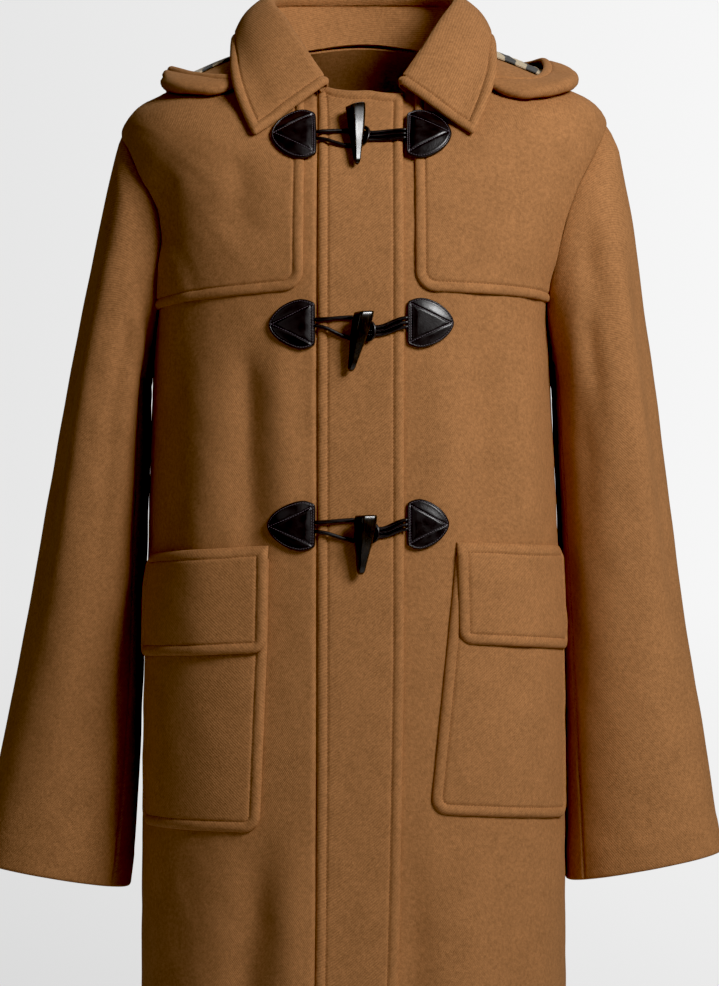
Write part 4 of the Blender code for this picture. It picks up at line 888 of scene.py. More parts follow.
def make_pockets():
    for side, grid in GRIDS.items():
        cols = (grid.count - 1, grid.spread - 1)
        rise = near_placket_rise if side < 0 else None
        block = grid.block("pocket_top", "pocket_low", *cols).copy()
        if side > 0:
            block[..., 0] = leaned(block)
        pocket = skin_patch(block, rise)
        cut(pocket, f"pocket_{WORD[side]}", ("stitched", "stitched", "plain", "stitched"), 4.0,
            FOLDED_CLOTH, SECOND_LOW, corners=(("left", "bottom", 15.0), ("right", "bottom", 17.0)),
            puff=pocket_puff,
            seed=13 + side)
        flap = skin_patch(grid.block("flap_top", "flap_low", *cols), rise)

        def over_pocket(across, along):
            climb = ease(along / 0.13) * (FLAP_LOW + FLAP_EASE - SECOND_LOW)
            return climb + pocket_puff(across, np.clip(along * 0.42 - 0.05, 0, 1))

        cut(flap, f"flap_{WORD[side]}", ("stitched", "stitched", "stitched", "stitched"), 4.0, FOLDED_CLOTH,
            SECOND_LOW + FLAP_EASE, corners=(("left", "bottom", 11.0), ("right", "bottom", 11.0)),
            lively=1.4,
            puff=over_pocket, seed=17 + side)


# ================================================================ sleeves
def armhole_point(side, turn, lift):
    """A point of the armhole seam, at a turn in degrees round the sleeve from the shoulder tip."""
    drop = (1 - np.cos(np.radians(turn))) / 2
    down = TIP_RING + (UNDERARM_RING - TIP_RING) * drop
    front = side * (1 - armhole_inset(down, FRONT))
    back = side * (1 + armhole_inset(down, BACK))
    return skin(np.where(np.asarray(turn) <= 180, front, back), down, lift)


def sleeve_point(side, turn, along):
    """A point of the sleeve's inner face: turn in degrees from the outer line, along from the armhole."""
    table = columns(SLEEVE_COLUMNS, RIGHT_SLEEVE if side < 0 else LEFT_SLEEVE)
    turn, along = np.broadcast_arrays(np.mod(turn, 360.0), np.clip(along, 0, CUFF))
    seam = armhole_point(side, turn, SLEEVE_LIFT)
    cosine, sine = np.cos(np.radians(turn)), np.sin(np.radians(turn))
    power = SLEEVE_SQUARENESS
    rounding = (np.abs(cosine) ** power + np.abs(sine) ** power) ** (-1 / power)
    value = {name: smooth(table[name], np.maximum(along - 1, 0)) for name in SLEEVE_COLUMNS}
    x = ((value["outer_x"] + value["inner_x"]) / 2 - side * value["bow"] * sine**4
         + (value["outer_x"] - value["inner_x"]) / 2 * cosine * rounding)
    y = ((value["front_y"] + value["back_y"]) / 2
         - (value["back_y"] - value["front_y"]) / 2 * sine * rounding)
    z = ((value["outer_z"] + value["inner_z"]) / 2
         + (value["outer_z"] - value["inner_z"]) / 2 * cosine * rounding)
    near_seam = np.clip(along, 0, 1)[..., None]
    return seam * (1 - near_seam) + np.stack([x, y, z], axis=-1) * near_seam


def sleeve_fold_height(side, turn, along):
    total = np.zeros(turn.shape)
    for row in SLEEVE_FOLDS + SLEEVE_CREASES[side]:
        fold = record(SLEEVE_FOLD_COLUMNS, row)
        rise = ease((along - fold["start"]) / SLEEVE_FOLD_RISE)
        length = rise * ease((fold["end"] - along) / SLEEVE_FOLD_FADE)
        away = np.mod(turn - fold["angle"] + 180, 360) - 180
        total += fold["height"] * bell(away, fold["half_width"]) * length
    return total


def make_sleeves():
    """Each sleeve is an upper and an under piece, joined by two seams down to the cuff."""
    seam_turn = math.degrees(math.acos(1 - 2 * (SLEEVE_SEAM_STEP - TIP_RING) / (UNDERARM_RING - TIP_RING)))
    for side in GRIDS:
        for word, first, last in (("top", -seam_turn, seam_turn), ("under", seam_turn, 360 - seam_turn)):
            make_sleeve(f"sleeve_{WORD[side]}_{word}", side, first, last, word == "top")


def make_sleeve(name, side, first, last, front_is_last):
    """One piece of a sleeve, between two turns in degrees; its armhole edge leans in to the seam."""
    width = (last - first) * SLEEVE_DEGREE
    share_a, offset_a = stations(width, "seam", "seam", SLEEVE_PITCH)
    turns = first + (share_a * width + offset_a) / width * (last - first)
    shares = (turns - first) / (last - first)
    length = SLEEVE_LENGTH
    share_b, offset_b = stations(length, "seam", "hem", SLEEVE_ROW_PITCH)
    way = (share_b * length + offset_b) / length
    line = sleeve_point(side, np.zeros(400), np.linspace(0, CUFF, 400))
    run = np.concatenate([[0], np.cumsum(np.linalg.norm(np.diff(line, axis=0), axis=-1))])
    along = np.interp(way * run[-1], run, np.linspace(0, CUFF, 400))[:, None]
    drift = SEAM_DRIFT * ease((along - 4) / (CUFF - 4))
    turn = turns[None, :] + drift * (shares if front_is_last else 1 - shares)[None, :]
    along = np.broadcast_to(along, turn.shape)

    def facing(t, s):
        across = sleeve_point(side, t + 1.5, s) - sleeve_point(side, t - 1.5, s)
        below = sleeve_point(side, t, s + 0.03) - sleeve_point(side, t, s - 0.03)
        return side * unit(np.cross(across, below))

    out = facing(turn, along)
    base = sleeve_point(side, turn, along)
    ring = armhole_point(side, np.arange(0.0, 360.0, 15.0), SLEEVE_LIFT).mean(axis=0)
    start = ease(along / 0.5)[..., None]
    inward = unit(unit(ring - base) * (1 - start) - out * start)
    depth_side = np.minimum(turns - first, last - turns)[None, :] / (last - first) * width + 0 * along
    depth_top = (way * length)[:, None] + 0 * along
    depth_hem = ((1 - way) * length)[:, None] + 0 * along
    uv = np.stack([shares[None, :] * width + 0 * along, depth_top], axis=-1)
    place = np.concatenate([uv, 0 * uv[..., :1] + 90 * side + len(name)], axis=-1)
    fold = sleeve_fold_height(side, turn, along)
    wave = 0.3 * ripple(place, 45, 31 + side) * ease(depth_side / 6) * ease(depth_top / 10)
    factor = edge_height("seam", depth_side, CLOTH)[0] * edge_height("seam", depth_top, CLOTH)[0]
    thick = edge_height("hem", depth_hem, CLOTH)
    inner = base + out * (fold * start[..., 0])[..., None]
    inner = inner * start + (base + inward * CLOTH) * (1 - start)
    face = CLOTH * factor * thick[0] + thick[1] + wave * start[..., 0]
    outer = inner - inward * np.maximum(0.25, face)[..., None]
    shell(name, inner, outer, uv, "napped_wool_twill")


# ================================================================ collar
COLLAR_ROLL_TURNS = (180, 135, 90, 45, 0)
HOOD_LOWER_SHARES = (0.0, 0.15, 0.32, 0.5, 0.75, 1.0)     # from the neck seam to the fold
HOOD_TURN_ANGLES = (0.9, 1.6, 2.4, math.pi)               # round the fold
HOOD_UPPER_SHARES = (0.33, 0.66, 1.0)                     # from the fold to the facing


def collar_frames():
    """The collar's sections, from its right front end over the nape to the left one, as the solid has."""
    table = columns(COLLAR_COLUMNS, COLLAR)
    half = np.linspace(0, len(COLLAR) - 1, 12)
    rolls, edges, arounds, puffs = [], [], [], []
    for side, places in ((-1, half), (1, half[::-1][1:])):
        value = {name: smooth(table[name], places) for name in COLLAR_COLUMNS}
        for kind, out in (("roll", rolls), ("edge", edges)):
            x = -side * value[kind + "_x"] + CENTRE_SHIFT
            out.append(np.stack([x, value[kind + "_y"], value[kind + "_z"]], axis=-1))
        arounds.append(value["around"] * side)
        puffs.append(value["puff"])
    rolls, edges, arounds, puffs = (np.concatenate(part) for part in (rolls, edges, arounds, puffs))
    tangents = unit(np.gradient(rolls, axis=0))
    falls = unit(edges - rolls)
    out = unit(np.cross(tangents, falls))
    from_neck = rolls[:, :2] - (CENTRE_SHIFT, 0)
    points_out = out[:, 2] + (np.einsum("ij,ij->i", out[:, :2], from_neck) > 0)
    return rolls, edges, arounds, puffs, falls, np.where(points_out[:, None] > 0, out, -out)


def keep_clear(points, lift):
    """Moves points out where they lie less than `lift` above the skin over the shoulders and chest."""
    around, down = np.meshgrid(np.linspace(-2, 2, 161), np.linspace(0, 5, 41), indexing="ij")
    around, down = around.ravel(), down.ravel()
    ground = skin(around, down)
    normals = normal_of(creased_skin, around, down)
    lift = np.broadcast_to(lift, points.shape[:-1]).ravel()
    moved = points.reshape(-1, 3).copy()
    for i, point in enumerate(points.reshape(-1, 3)):
        nearest = np.argmin(((ground - point) ** 2).sum(axis=1))
        height = np.dot(point - ground[nearest], normals[nearest])
        moved[i] += normals[nearest] * max(0.0, lift[i] - height)
    return moved.reshape(points.shape)


def make_collar():
    """The fall turns over the roll line and hangs to its outer edge; the stand is inside the neck."""
    rolls, edges, arounds, puffs, falls, out = collar_frames()
    radius = COLLAR_FOLD_RADIUS
    centre = rolls + falls * radius
    lines = [centre - out * radius + falls * COLLAR_TURN_IN]
    for degrees in COLLAR_ROLL_TURNS:
        turn = math.radians(degrees)
        lines.append(centre + radius * (out * math.cos(turn) - falls * math.sin(turn)))
    start = lines[-1]
    clearance = COLLAR_LIFT + (COLLAR_OVER_HOOD - COLLAR_LIFT) * ease((np.abs(arounds) - 0.34) / 0.14)
    for share in (0.25, 0.5, 0.75, 1.0):
        bulge = out * (puffs * math.sin(math.pi * share))[:, None]
        lines.append(keep_clear(start + (edges - start) * share + bulge, clearance * min(1.0, share * 2)))
    middle = finer(np.stack(lines, axis=1), 6)
    patch = grid_patch(middle)
    cut(patch, "collar", ("plain", "stitched", "stitched", "stitched"), 4.0, FOLDED_CLOTH,
        -FOLDED_CLOTH / 2, corners=(("right", "top", 4.0), ("right", "bottom", 4.0)), seed=23,
        finish="collar_wool_twill")
    keep = slice(3, -3)
    top = rolls + falls * (radius + COLLAR_TURN_IN + GAP + 0.4) - out * radius
    neck_end = (top + falls * 3.0)[keep]
    top = top[keep]
    base = skin(arounds[keep], 0.0, CLOTH / 2)
    beyond = unit(base - skin(arounds[keep], 0.06, CLOTH / 2))
    base = base + beyond * (FOLDED_CLOTH / 2 + STAND_CLEARANCE)
    lines = [base + (neck_end - base) * share for share in (0, 0.33, 0.66, 1)]
    stand = finer(np.stack(lines + [top], axis=1), 6)
    cut(grid_patch(stand), "collar_stand", ("plain",) * 4, 5.0, STAND_CLOTH, -STAND_CLOTH / 2, seed=29,
        finish="collar_wool_twill")


# ================================================================ hood
def hood_profile(side, at):
    """One section of the hood's cloth, from the neck seam down to its fold and up to the rim."""
    table = columns(HOOD_COLUMNS, HOOD[side])
    value = {name: float(smooth(table[name], at)) for name in HOOD_COLUMNS}
    share = np.array(HOOD_LOWER_SHARES)
    around = side * (value["neck_around"] + (value["fold_around"] - value["neck_around"]) * share)
    down = 0.08 + (value["fold_down"] - 0.08) * share
    lower = list(skin(around, down, HOOD_LIFT + value["standoff"] * ease(share / 0.2)))
    fold = lower[-1]
    up = normal_of(creased_skin, around[-1], down[-1])
    out = unit(fold - lower[-2])
    turn = [fold + (out * math.sin(angle) + up * (1 - math.cos(angle))) * value["turn"]
            for angle in HOOD_TURN_ANGLES]
    rim = np.array([-side * value["rim_x"] + CENTRE_SHIFT * (side > 0), value["rim_y"], value["rim_z"]])
    start = turn[-1]
    radial = unit(np.array([rim[0] - CENTRE_SHIFT, rim[1] - 20, 0.0]))
    length = np.linalg.norm(rim - start)
    facing = min(FACING, 0.4 * length) / length
    upper = []
    for share in [part * (1 - facing) for part in HOOD_UPPER_SHARES] + [1.0]:
        bulge = value["puff"] * math.sin(math.pi * min(1.0, share + 0.05))
        upper.append(start + (rim - start) * share + radial * bulge)
    return np.array(lower + turn + upper)


def hood_grid(side):
    places = np.linspace(0, len(HOOD[side]) - 1, 17)
    middle = np.array([hood_profile(side, at) for at in places])
    middle[-1, :, 0] = side * GAP / 2
    facing = grid_normals(middle)
    facing[-1, :, 0] = 0
    facing = unit(facing)
    return middle, facing if facing[-1, 1, 1] > 0 else -facing


def make_hood():
    """Two halves with a seam down the back, lying folded on the shoulders, and the lining between them."""
    grids = {side: hood_grid(side) for side in GRIDS}
    for side, (middle, facing) in grids.items():
        fine, fine_facing = finer(middle, 6), unit(finer(facing, 6))
        cut(grid_patch(fine, -fine_facing), f"hood_{WORD[side]}", ("plain", "stitched", "plain", "seam"),
            4.5, CLOTH, -CLOTH / 2, seed=37 + side)
    first = LINING_FIRST_SECTION
    right, left = grids[-1], grids[1]
    middle = np.concatenate([right[0][first:], left[0][first:][::-1][1:]])[:, 1:-1]
    facing = np.concatenate([right[1][first:], left[1][first:][::-1][1:]])[:, 1:-1]
    middle[len(right[0]) - first - 1, :, 0] = 0
    fine, fine_facing = finer(middle, 6)[:, ::-1], unit(finer(facing, 6))[:, ::-1]
    cut(grid_patch(fine, fine_facing), "hood_lining", ("plain",) * 4, 4.5, LINING_CLOTH,
        CLOTH / 2 + GAP + LINING_EASE, seed=41, finish="striped_wool_lining")


# ================================================================ fastenings
def front_point(x, z, lift):
    return skin(*on_front(x, z), lift)


# a tab's corner, from its straight edge, and the curve from its widest place on to its blunt point
TAB_CORNER = ((0.0, 14.5), (0.15, 16.6), (0.7, 18.3), (1.8, 19.4), (4.0, 20.4), (8.0, 21.7))
TAB_WIDEST, TAB_POINT_REACH, TAB_HALF_HEIGHT, TAB_BLUNTNESS = 12.0, 28.6, 22.2, 1.18
TAB_OUTLINE_POINTS = 168
TAB_RINGS = (0, 0.15, 0.4, 0.75, 1.15, 1.5, 1.8, 2.1, 2.5, 3.1, 3.9)     # depths of its rings of points
TAB_INNER_RINGS = 30
TAB_STITCH_DEPTH = 1.8
TAB_THICK = 2.6
TAB_FOOT = 0.8               # a tab's back lies this much above the cloth under it
TAB_WIDTH = 40.6
TAB_CENTRE = 0.42            # share of its width
TAB_PADDING, TAB_PADDING_RUN = 1.5, 9
TAB_BORDER_GROOVE, TAB_ROW_GROOVE = 0.5, 0.75
TAB_ROWS = (((2.9, 17.0), (37.6, 0.0)), ((3.6, 0.0), (3.6, 16.5)))       # rows of stitches, upper half
TAB_STITCHES = []
TAB_STITCH_PITCH, TAB_STITCH_LENGTH, TAB_THREAD_RADIUS = 2.3, 1.7, 0.3
WOOL_THREAD_RADIUS = 0.32


def tab_outline(stretch):
    """A tab's outline, anticlockwise: its straight edge at 0, rounded corners and a blunt point."""
    turn = np.linspace(0, math.pi / 2, 200)[::-1]
    corner_reach, corner_half = np.array(TAB_CORNER).T
    reach = np.concatenate([corner_reach, TAB_WIDEST + TAB_POINT_REACH * np.cos(turn) ** TAB_BLUNTNESS])
    half = np.concatenate([corner_half, TAB_HALF_HEIGHT * np.sin(turn) ** TAB_BLUNTNESS])
    line = np.concatenate([np.stack([reach, -half], axis=-1), np.stack([reach, half], axis=-1)[-2::-1]])
    line = np.concatenate([line, line[:1]]) * (stretch, 1.0)
    run = np.concatenate([[0], np.cumsum(np.linalg.norm(np.diff(line, axis=0), axis=-1))])
    at = np.linspace(0, run[-1], TAB_OUTLINE_POINTS + 1)[:-1]
    return np.stack([np.interp(at, run, line[:, 0]), np.interp(at, run, line[:, 1])], axis=-1)


def tab_height(flat, depth, stretch):
    """Height of a tab's face: a rounded rim, a padded middle, and grooves where it is stitched."""
    height = 0.3 + TAB_THICK * np.sqrt(1 - (1 - np.clip(depth / 1.4, 0, 1)) ** 2)
    height += TAB_PADDING * ease((depth - 2.2) / TAB_PADDING_RUN)
    height -= TAB_BORDER_GROOVE * bell(depth - TAB_STITCH_DEPTH, 0.42)
    for start, end in TAB_ROWS:
        start, end = np.array(start) * (stretch, 1), np.array(end) * (stretch, 1)
        along = unit(end - start)
        offset = np.stack([flat[..., 0], np.abs(flat[..., 1])], axis=-1) - start
        share = np.clip(offset @ along / np.linalg.norm(end - start), 0, 1)
        away = np.linalg.norm(offset - share[..., None] * (end - start), axis=-1)
        height -= TAB_ROW_GROOVE * bell(away, 0.75) * (depth > 2.0)
    return height


def make_tab(name, side, edge_x, centre_z, base_lift, stretch=1.0):
    """A padded leather tab, stitched round its border and from its corners to its point."""
    outline = tab_outline(stretch)
    along = unit(np.roll(outline, -1, axis=0) - np.roll(outline, 1, axis=0))
    inward = np.stack([-along[:, 1], along[:, 0]], axis=-1)
    rings = [outline + inward * depth for depth in TAB_RINGS]
    centre = np.array([TAB_WIDTH * stretch * TAB_CENTRE, 0.0])
    shares = np.linspace(1, 0, TAB_INNER_RINGS)[1:-1]
    rings += [centre + (rings[-1] - centre) * share for share in shares]
    depth = np.array(TAB_RINGS + tuple(4 + 17 * (1 - shares)))[:, None] + np.zeros(len(outline))
    flat = np.array(rings)

    def on_tab(plane, height):
        """Points of the tab from places on it and heights above its back."""
        around, down = on_front(edge_x + side * plane[..., 0], centre_z + plane[..., 1])
        rise = near_placket_rise(bare_skin(around, down)) if side < 0 else 0.0
        return skin(around, down, base_lift + TAB_FOOT + rise + height)

    top = on_tab(flat, tab_height(flat, depth, stretch))
    bottom = on_tab(flat, 0 * depth)
    middle = centre[None]
    ends = [on_tab(middle, tab_height(middle, np.array([21.0]), stretch)), on_tab(middle, np.zeros(1))]
    points = np.concatenate([top.reshape(-1, 3), bottom.reshape(-1, 3), *ends])
    index = np.arange(flat[..., 0].size).reshape(flat.shape[:2])
    turned = np.roll(index, -1, axis=1)
    half = index.size
    ring = np.stack([index[:-1], turned[:-1], turned[1:], index[1:]], axis=-1).reshape(-1, 4)
    rim = np.stack([index[0] + half, turned[0] + half, turned[0], index[0]], axis=-1)
    given = np.concatenate([ring, ring[:, ::-1] + half, rim])
    quads = outward(points, given)
    fan = [(int(a), int(b), 2 * half) for a, b in zip(index[-1], turned[-1])]
    fan += [(int(b) + half, int(a) + half, 2 * half + 1) for a, b in zip(index[-1], turned[-1])]
    fan = fan if np.array_equal(quads, given) else [face[::-1] for face in fan]
    uv = np.concatenate([flat.reshape(-1, 2), flat.reshape(-1, 2), middle, middle])
    piece = new_object(name, points, [list(face) for face in quads] + fan, "waxed_leather", uv)
    enter(piece, name)
    border = top[TAB_RINGS.index(TAB_STITCH_DEPTH)]
    TAB_STITCHES.append(np.concatenate([border, border[:1]]))
    share = np.linspace(0, 1, 40)[:, None]
    for start, end in TAB_ROWS:
        for up in (1, -1):
            row = (np.array(start) + (np.array(end) - start) * share) * (stretch, up)
            inside = np.minimum(np.minimum(row[:, 0], 20.0), 30.0 - np.abs(row[:, 1]))
            TAB_STITCHES.append(on_tab(row, tab_height(row, inside, stretch) + 0.1))


CORD_SIDES, CORD_SECTIONS = 12, 4
LOOP_RADIUS, TOGGLE_CORD_RADIUS = 1.75, 1.7
CORD_OFFSETS = (-4.0, 0.0, 4.0)          # the three strands of a toggle's cord, above one another
CORD_SHARES = (0.0, 0.2, 0.4, 0.6, 0.8, 1.0, 1.2, 1.4)


def cords(name, paths, radius):
    """Leather cords along lists of points, each with round ends, as one piece."""
    points, faces, uv = [], [], []
    for path in paths:
        controls = np.asarray(path, float)
        at = np.linspace(0, len(controls) - 1, (len(controls) - 1) * CORD_SECTIONS + 1)
        line = smooth(controls, at)
        tangents = unit(np.gradient(line, axis=0))
        run = np.concatenate([[0], np.cumsum(np.linalg.norm(np.diff(line, axis=0), axis=-1))])
        ends = np.concatenate([[0.45], np.ones(len(line)), [0.45]])
        line = np.concatenate([line[:1] - tangents[:1] * radius * 0.5, line,
                               line[-1:] + tangents[-1:] * radius * 0.5])
        tangents = np.concatenate([tangents[:1], tangents, tangents[-1:]])
        run = np.concatenate([[-radius / 2], run, [run[-1] + radius / 2]])
        side = unit(np.cross(tangents[0], (0.0, 1.0, 0.0)))
        start = len(points)
        for centre, tangent, size, way in zip(line, tangents, ends, run):
            side = unit(side - tangent * np.dot(side, tangent))
            other = np.cross(tangent, side)
            for k in range(CORD_SIDES):
                turn = 2 * math.pi * k / CORD_SIDES
                points.append(centre + radius * size * (side * math.cos(turn) + other * math.sin(turn)))
                uv.append((way, radius * turn))
        for ring in range(len(line) - 1):
            for k in range(CORD_SIDES):
                a = start + ring * CORD_SIDES + k
                b = start + ring * CORD_SIDES + (k + 1) % CORD_SIDES
                faces.append((b, a, a + CORD_SIDES, b + CORD_SIDES))
        last = start + (len(line) - 1) * CORD_SIDES
        faces.append(tuple(range(start, start + CORD_SIDES)))
        faces.append(tuple(range(last + CORD_SIDES - 1, last - 1, -1)))
    enter(new_object(name, np.array(points), faces, "waxed_leather", np.array(uv)), name)


def make_loop(number, size):
    """The right tab's cord loop: two strands pass behind the toggle, and their bend holds its cords."""
    x, start = size["toggle_x"], RIGHT_TAB_EDGE + 0.3
    over = PLACKET_TOP + 1.9
    middle = size["cord_z"]
    upper, lower = (size["upper_tab_z"], size["upper_z"]), (size["lower_tab_z"], size["lower_z"])
    strands = []
    for (tab_z, toggle_z), up in ((upper, 1), (lower, -1)):
        near = x - 9 - start
        strands.append([(start, tab_z, over + 1.3),
                        (start + near * 0.3, tab_z * 0.8 + toggle_z * 0.2, over + 1.7),
                        (start + near * 0.65, tab_z * 0.35 + toggle_z * 0.65, over + 1.0),
                        (x - 9, toggle_z, over + 0.2),
                        (x - 2, toggle_z * 0.8 + (middle + 8 * up) * 0.2, over),
                        (x + 5, middle + 8.2 * up, over + 0.6),
                        (x + 8.6, middle + 6.6 * up, over + 2.6),
                        (x + 10.6, middle + 3.6 * up, over + 4.3)])
    route = strands[0] + [(x + 11.0, middle, over + 4.9)] + strands[1][::-1]
    cords(f"loop_{number}", [[front_point(px, z, lift) for px, z, lift in route]], LOOP_RADIUS)


def make_toggle_cord(number, size):
    """The toggle's own cord: three strands from the left tab, through the loop's bend to the toggle."""
    x, start = size["toggle_x"], LEFT_TAB_EDGE - 0.3
    tab_z, toggle_z = size["cord_tab_z"], size["cord_z"]
    over = PLACKET_TOP + 1.7
    strands = []
    for offset in CORD_OFFSETS:
        route = []
        for share in CORD_SHARES:
            z = tab_z + (toggle_z - tab_z) * ease(share)
            squeeze = 1 - 0.14 * bell(share - 0.95, 0.25)
            lift = over + 1.5 * (1 - ease(share / 0.9)) + 0.35 * math.sin(3 * share + offset)
            route.append((start + (x + 13 - start) * share, z + offset * squeeze, lift))
        strands.append([front_point(px, z, lift) for px, z, lift in route])
    cords(f"toggle_cord_{number}", strands, TOGGLE_CORD_RADIUS)


# a toggle's width at shares of its length, from its sawn top to its tip
TOGGLE_PROFILE = ((0.0, 0.88), (0.01, 0.95), (0.03, 0.985), (0.08, 1.0), (0.16, 0.975), (0.26, 0.925),
                  (0.36, 0.865), (0.46, 0.79), (0.56, 0.7), (0.66, 0.605), (0.76, 0.515), (0.85, 0.44),
                  (0.92, 0.385), (0.965, 0.31), (0.99, 0.19), (1.0, 0.04))
# flats ground along the horn: direction in degrees, seen from above, and distance from its middle
TOGGLE_FLATS = ((-68, 0.87), (8, 0.9), (-142, 0.88), (70, 0.92), (150, 0.9))


TOGGLE_SIDES = 72
TOGGLE_BACK_LIFT = 4.35      # the toggle's back lies this much above the placket
TOGGLE_DEPTH = 0.88          # its depth as a share of its width


def make_toggle(number, size):
    """A horn toggle: sawn at the top, tapering to a rounded tip, with flats ground along it."""
    turns = 2 * math.pi * np.arange(TOGGLE_SIDES) / TOGGLE_SIDES
    facets = np.ones(TOGGLE_SIDES)
    for direction, reach in TOGGLE_FLATS:
        facets = np.minimum(facets, reach / np.maximum(np.cos(turns - math.radians(direction)), 0.3))
    points = []
    back_lift = PLACKET_TOP + TOGGLE_BACK_LIFT + size["seat"]
    for share, width in TOGGLE_PROFILE:
        half = TOGGLE_HALF * width * size["breadth"]
        x = size["toggle_x"] + size["lean"] * (share - 0.2)
        base = front_point(x, size["toggle_top_z"] - TOGGLE_LENGTH * share, back_lift + half * 0.9)
        slant = size["slant"] * max(0.0, 1 - share / 0.1)
        ring = half * facets
        points.append(base + np.stack([ring * np.cos(turns), TOGGLE_DEPTH * ring * np.sin(turns),
                                       slant * np.cos(turns + 0.5)], axis=-1))
    hollow = points[0].mean(axis=0) + (points[0] - points[0].mean(axis=0)) * 0.55 - (0, 0, 1.2)
    points = np.concatenate([hollow, *points])
    index = np.arange(len(points)).reshape(-1, TOGGLE_SIDES)
    turned = np.roll(index, -1, axis=1)
    given = np.stack([index[:-1], turned[:-1], turned[1:], index[1:]], axis=-1).reshape(-1, 4)
    quads = outward(points, given)
    caps = [tuple(int(k) for k in index[0][::-1]), tuple(int(k) for k in index[-1])]
    caps = caps if np.array_equal(quads, given) else [cap[::-1] for cap in caps]
    piece = new_object(f"toggle_{number}", points, [list(face) for face in quads] + caps, "polished_horn")
    enter(piece, f"toggle_{number}")


def fastenings():
    """The number of each fastening and all its sizes by name."""
    return [(number, record(FASTENING_COLUMNS + CORD_COLUMNS, rows[0] + rows[1]))
            for number, rows in enumerate(zip(FASTENINGS, CORDS), start=1)]


# ================================================================ stitches
STITCH_LEAN = 0.09           # how far a stitch strays from its line, as a share of its length
STITCH_SEED = 3


def make_stitches(name, lines, pitch, length, radius, finish):
    """Thread along lines of points: one short stitch after another, drawn in by the cloth."""
    points, edges = [], []
    for line in lines:
        first = len(points)
        points.extend(line.tolist())
        edges.extend((first + k, first + k + 1) for k in range(len(line) - 1))
    mesh = bpy.data.meshes.new(name + "_lines")
    mesh.from_pydata((np.array(points) * MM).tolist(), edges, [])
    holder = bpy.data.objects.new(name + "_lines", mesh)
    bpy.context.scene.collection.objects.link(holder)
    tree = bpy.data.node_groups.new(name, "GeometryNodeTree")
    tree.is_modifier = True
    tree.interface.new_socket("Lines", in_out="INPUT", socket_type="NodeSocketGeometry")
    for label, default in (("Pitch", pitch), ("Length", length), ("Radius", radius)):
        socket = tree.interface.new_socket(label, in_out="INPUT", socket_type="NodeSocketFloat")
        socket.default_value = default * MM
    seed = tree.interface.new_socket("Seed", in_out="INPUT", socket_type="NodeSocketInt")
    seed.default_value = STITCH_SEED
    tree.interface.new_socket("Stitches", in_out="OUTPUT", socket_type="NodeSocketGeometry")
    given = node(tree, "NodeGroupInput")
    curve = node(tree, "GeometryNodeMeshToCurve", inputs={"Mesh": given.outputs["Lines"]})
    even = node(tree, "GeometryNodeResampleCurve", {"mode": "LENGTH"},
                {"Curve": curve, "Length": given.outputs["Pitch"]})
    tangent = node(tree, "GeometryNodeInputTangent")
    jitter = node(tree, "FunctionNodeRandomValue", {"data_type": "FLOAT_VECTOR"},
                  {0: (-STITCH_LEAN,) * 3, 1: (STITCH_LEAN,) * 3, "Seed": given.outputs["Seed"]})
    lean = node(tree, "ShaderNodeVectorMath", {"operation": "ADD"}, {0: tangent, 1: jitter})
    turn = node(tree, "FunctionNodeAlignRotationToVector", {"axis": "Z"}, {"Vector": lean})
    bead = node(tree, "GeometryNodeMeshUVSphere", inputs={"Segments": 6, "Rings": 5, "Radius": 1.0})
    halved = node(tree, "ShaderNodeMath", {"operation": "MULTIPLY"}, {0: given.outputs["Length"], 1: 0.5})
    radius_out = given.outputs["Radius"]
    size = node(tree, "ShaderNodeCombineXYZ", inputs={0: radius_out, 1: radius_out, 2: halved})
    placed = node(tree, "GeometryNodeInstanceOnPoints",
                  inputs={"Points": even, "Instance": bead, "Rotation": turn, "Scale": size})
    real = node(tree, "GeometryNodeRealizeInstances", inputs={0: placed})
    painted = node(tree, "GeometryNodeSetMaterial", inputs={"Geometry": real, "Material": material(finish)})
    node(tree, "NodeGroupOutput", inputs={0: painted})
    modifier = holder.modifiers.new("stitches", "NODES")
    modifier.node_group = tree
    for item in tree.interface.items_tree:
        if item.in_out == "INPUT" and item.socket_type != "NodeSocketGeometry":
            modifier[item.identifier] = item.default_value
    bpy.context.view_layer.update()
    graph = bpy.context.evaluated_depsgraph_get()
    made = bpy.data.meshes.new_from_object(holder.evaluated_get(graph))
    piece = bpy.data.objects.new(name, made)
    bpy.context.scene.collection.objects.link(piece)
    holder.modifiers.clear()
    bpy.data.objects.remove(holder)
    made.shade_smooth()
    enter(piece)


# ================================================================ finishes
SHEEN = "#C79A6B"            # light caught by the wool's raised fibres
FLOOR = "#E4E4E4"
# painted light on the backdrop paper: shaded darker on the left, lit brighter on the right
PAPER_SHADED_LEFT, PAPER_LIT_RIGHT = "#E6E6E6", "#F5F5F5"
GLOW, GLOW_STRENGTH = "#FFFFFF", 0.06
TWILL_RIB = 1.9              # from one rib of the twill to the next, coarser than woven so that it shows
COLLAR_RIB, COLLAR_TURN = 1.8, 0.9
LINING_RIB = 1.2
WAVES_IN_TEXTURE = 10 * math.sqrt(2)     # a wave texture's diagonal bands come every 2 pi / (this * scale)
STRIPE_EDGE = 0.03           # share of a pair of stripes over which one runs into the next


def linear(colour):
    """An sRGB hex colour as linear red, green, blue and alpha."""
    parts = [int(colour[i:i + 2], 16) / 255 for i in (1, 3, 5)]
    return tuple(c / 12.92 if c <= 0.04045 else ((c + 0.055) / 1.055) ** 2.4 for c in parts) + (1.0,)


def node(tree, kind, settings=None, inputs=None):
    """Adds a node with its settings, and sets or links its inputs, each by its name or place."""
    made = tree.nodes.new(kind)
    for name, value in (settings or {}).items():
        setattr(made, name, value)
    for place, value in (inputs or {}).items():
        if isinstance(value, bpy.types.Node):
            value = value.outputs[0]
        if isinstance(value, bpy.types.NodeSocket):
            tree.links.new(value, made.inputs[place])
        else:
            made.inputs[place].default_value = value
    return made


